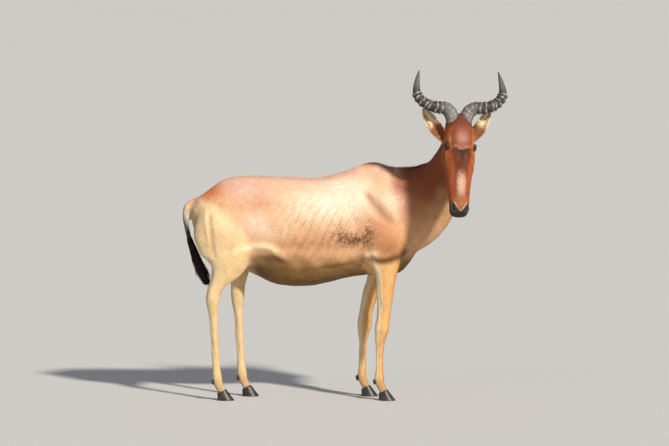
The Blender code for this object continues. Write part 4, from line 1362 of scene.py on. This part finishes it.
def horn_piece(side, material):
    """A horn that goes out, then up and back, with worn rings and a smooth tip; its crests and top are
    painted lighter and its underside painted darker.
    """
    s = SIDES[side]
    rows = spline(HORN, 20)
    path = from_level(rows[:, [1, 0, 2]] * (1, s, 1))
    along = np.concatenate([[0], np.cumsum(length(np.diff(path, axis=0)))])
    along /= along[-1]
    angle = turns(56)
    rise = np.sin(angle)
    rng = np.random.default_rng(SEEDS["horns"])
    steps = np.arange(HORN_RINGS) + rng.uniform(-0.24, 0.24, HORN_RINGS) + 0.7
    crests = HORN_RINGED * steps / HORN_RINGS
    heights = rng.uniform(0.65, 1.3, HORN_RINGS) * np.linspace(0.7, 1.25, HORN_RINGS)
    rings, colours, streaks = [], [], []
    for centre, heading, t, size in zip(path, unit(np.gradient(path, axis=0)), along, rows[:, 3]):
        lateral = unit(np.cross(heading, LEVEL[:, 0]))
        up = np.cross(lateral, heading)
        wave = 0.014 * np.sin(angle * 2 + 5 * t) + 0.01 * np.sin(angle * 5 + 17 * t)
        wave = wave + 0.007 * np.sin(angle * 17 + 6 * math.sin(40 * t)) * ramp(t, 0.9, 0.6)
        place = t + 0.009 * np.sin(angle + 1.0 + 3 * t) + 0.004 * np.sin(3 * angle + 9 * t)
        gap = (place[:, None] - crests) * HORN_RINGS / HORN_RINGED
        ring = (heights * bell(gap, 0, np.where(gap < 0, 0.34, 0.13))).max(axis=1)
        ringed = ramp(t, HORN_RINGED + 0.06, HORN_RINGED - 0.02)
        front = 0.62 + 0.38 * rise
        height = (RING_RISE[0] + RING_RISE[1] * t) * ring * front * ringed
        radius = np.maximum(size * (1 + wave) - HORN_LEAST + height, HORN_LEAST)[:, None]
        rings.append(centre + radius * (np.cos(angle)[:, None] * lateral + rise[:, None] * up) + BASE)
        # The rings' crests are pale, partly from real wear and partly as painted highlight.
        rubbed = np.clip(ring, 0, 1.2) ** 1.6 * (0.72 + 0.4 * np.sin(angle * 5 + 37 * t))
        # Painted highlight kept to the upper side: beyond the base the crests' paleness fades where the
        # horn faces down.
        unlit_underside = 0.65 - 0.65 * ramp(np.sin(angle + 0.5), -0.2, 0.7)
        rubbed = rubbed * (1 - ramp(t, 0.25, 0.45) * unlit_underside)
        worn = np.clip((0.6 + 0.4 * ramp(t, 0.34, 0.1)) * rubbed, 0, 1)
        # Grey over the upper side towards the base: partly the horn's paler base and partly painted
        # light on the side that faces up.
        tone = layered((0.014, 0.012, 0.012), ((0.42, 0.39, 0.37), worn),
                       ((0.27, 0.25, 0.24),
                        (0.75 * ramp(t, 0.42, 0.14) + 0.06) * rise.clip(0, 1) ** 0.7),
                       ((0.105, 0.1, 0.1), 0.85 * ramp(t, HORN_RINGED - 0.02, 0.82)),
                       ((0.03, 0.028, 0.03), 0.8 * ramp(t, 0.93, 1.0)))
        grain = 0.16 * np.sin(angle * 9 + 4 * math.sin(9 * t)) + 0.1 * np.sin(angle * 23 + 31 * t)
        # Painted shade: the underside is darkened to half.
        colours.append(tone * ((1 + grain) * (0.5 + 0.55 * ramp(rise, -0.7, 0.2)))[:, None])
        streaks.append(np.stack([0.03 * np.cos(angle), 0.03 * rise, 0 * angle + 0.05 * t], axis=1))
    mesh = closed_loft("horn", rings)
    paint(mesh, np.maximum(np.concatenate(colours), 0.004), 0.5, np.concatenate(streaks))
    piece("ringed_horn_" + side, mesh, material, "horn", "horn_" + side)


def claw_piece(name, material):
    """One claw of a hoof: its wall leans back, flat towards its partner, its top in the foot's hair."""
    low, high = (np.array(corner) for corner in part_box(name))
    _, _, side, place = name.split("_")
    out = SIDES[side] if place == "outer" else -SIDES[side]
    foot = (low + high)[1] / 2 - out * CLAW_MIDDLE
    angle = turns(48)
    reach = (1 - np.cos(angle)) / 2
    round_toe = np.sin(math.pi * reach ** 0.85) ** 0.6
    outer = np.where(np.sin(angle) > 0, round_toe, 0.0) + 0.3 * (1 - round_toe) ** 1.3
    growth_lines = [(share, 1 + 0.0015 * math.sin(46 * share)) for share in np.linspace(0.08, 0.9, 24)]
    rings = []
    for share, size in [(0.0, 0.86), (0.0, 0.95), (0.012, 0.985), (0.04, 1.0), *growth_lines,
                        (0.94, 1.02), (0.98, 1.01), (1.02, 0.94), (1.08, 0.78), (1.16, 0.5)]:
        toe = high[0] - HOOF_LEAN * share * CORONET
        span = high[0] - HOOF_LENGTH - 0.001 * share - toe
        x = toe + span * (0.55 + (reach - 0.55) * size)
        width = (CLAW_WIDTH - CLAW_TAPER * min(share, 1.0)) * size
        gap = CLAW_GAP - CLAW_CLOSING * min(share, 1.0)
        y = foot + out * (gap + 0.5 * width + (outer - 0.5) * width * (0.9 + 0.1 * size))
        rings.append(np.stack([x, y, share * (CORONET + (HEEL - CORONET) * reach)], axis=1))
    piece("claw_" + name[5:], closed_loft("claw", rings), material, "hoof", name)


def dewclaw_piece(name, material):
    """A small blunt claw behind the foot, pointing down."""
    low, high = (np.array(corner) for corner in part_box(name))
    turn = turns(24)
    rings = []
    for polar in np.linspace(0.06, math.pi - 0.06, 15):
        sine, cosine = math.sin(polar), math.cos(polar)
        ring = np.stack([sine * np.cos(turn) * (1 - 0.25 * cosine) - 0.003 * sine ** 2,
                         sine * np.sin(turn) * (1 - 0.2 * cosine), 0 * turn - cosine], axis=1)
        rings.append((low + high) / 2 + (0.003, 0, 0) + ring * (high - low) * (0.44, 0.42, 0.46))
    piece("spur_" + name[8:], closed_loft("spur", rings), material, "hoof", name)


# ---- the set ----
def studio():
    corners = FLOOR_REACH * np.array([(-1, -1, 0), (1, -1, 0), (1, 1, 0), (-1, 1, 0)])
    floor = placed("floor", mesh_from("floor", corners, np.array([[0, 1, 2, 3]])))
    floor.data.materials.append(Surface("floor_paper", Base_Color=PAPER, Roughness=0.9).material)
    world = bpy.data.worlds.new("studio")
    world.use_nodes = True
    sky = world.node_tree.nodes["Background"].inputs
    sky["Color"].default_value, sky["Strength"].default_value = SKY, SKY_STRENGTH
    bpy.context.scene.world = world
    for name, (aim, strength, spread, colour) in SUNS.items():
        light = bpy.data.lights.new(name, "SUN")
        light.energy, light.angle, light.color = strength, math.radians(spread), colour
        placed(name, light).rotation_euler = Vector(aim).to_track_quat("Z", "Y").to_euler()


def camera():
    lens = bpy.data.cameras.new("camera")
    lens.sensor_width, lens.clip_end = SENSOR, SIGHT
    lens.lens = SENSOR * CAMERA_DISTANCE / VIEW_WIDTH
    obj = placed("camera", lens)
    away = Vector((0, -math.cos(CAMERA_ELEVATION), math.sin(CAMERA_ELEVATION)))
    obj.location = Vector(VIEW_CENTRE + BASE) + away * CAMERA_DISTANCE
    obj.rotation_euler = away.to_track_quat("Z", "Y").to_euler()
    bpy.context.scene.camera = obj


# ---- putting it together ----
studio()
camera()
clay = build_skin()
skin_shares = region_shares(clay.points)
skin_lie = hair_lie(clay.points, clay.normals, skin_shares)
skin_mesh = mesh_from("skin", clay.points + BASE, clay.quads)
streaks_along_hair = clay.points - 0.86 * skin_lie * dots(clay.points, skin_lie)
paint(skin_mesh, *markings(clay.points, clay.normals, skin_shares), streaks_along_hair)
piece("skin", skin_mesh, skin_surface(), "tawny", *FLESH, "ear_left", "ear_right")
tufts = tuft_surface()
grow_coat(clay, tufts)
tail_hair(tufts)
ear_hair(tufts)
lashes(tufts)
whiskers(clay, tufts)
wet, sheath, hoof = eye_surface(), horn_surface(), hoof_surface()
for side in SIDES:
    eye_piece(side, wet)
    horn_piece(side, sheath)
for name in sorted(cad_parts):
    if name.startswith("hoof"):
        claw_piece(name, hoof)
    elif name.startswith("dewclaw"):
        dewclaw_piece(name, hoof)
bpy.context.scene.view_settings.view_transform = "Standard"
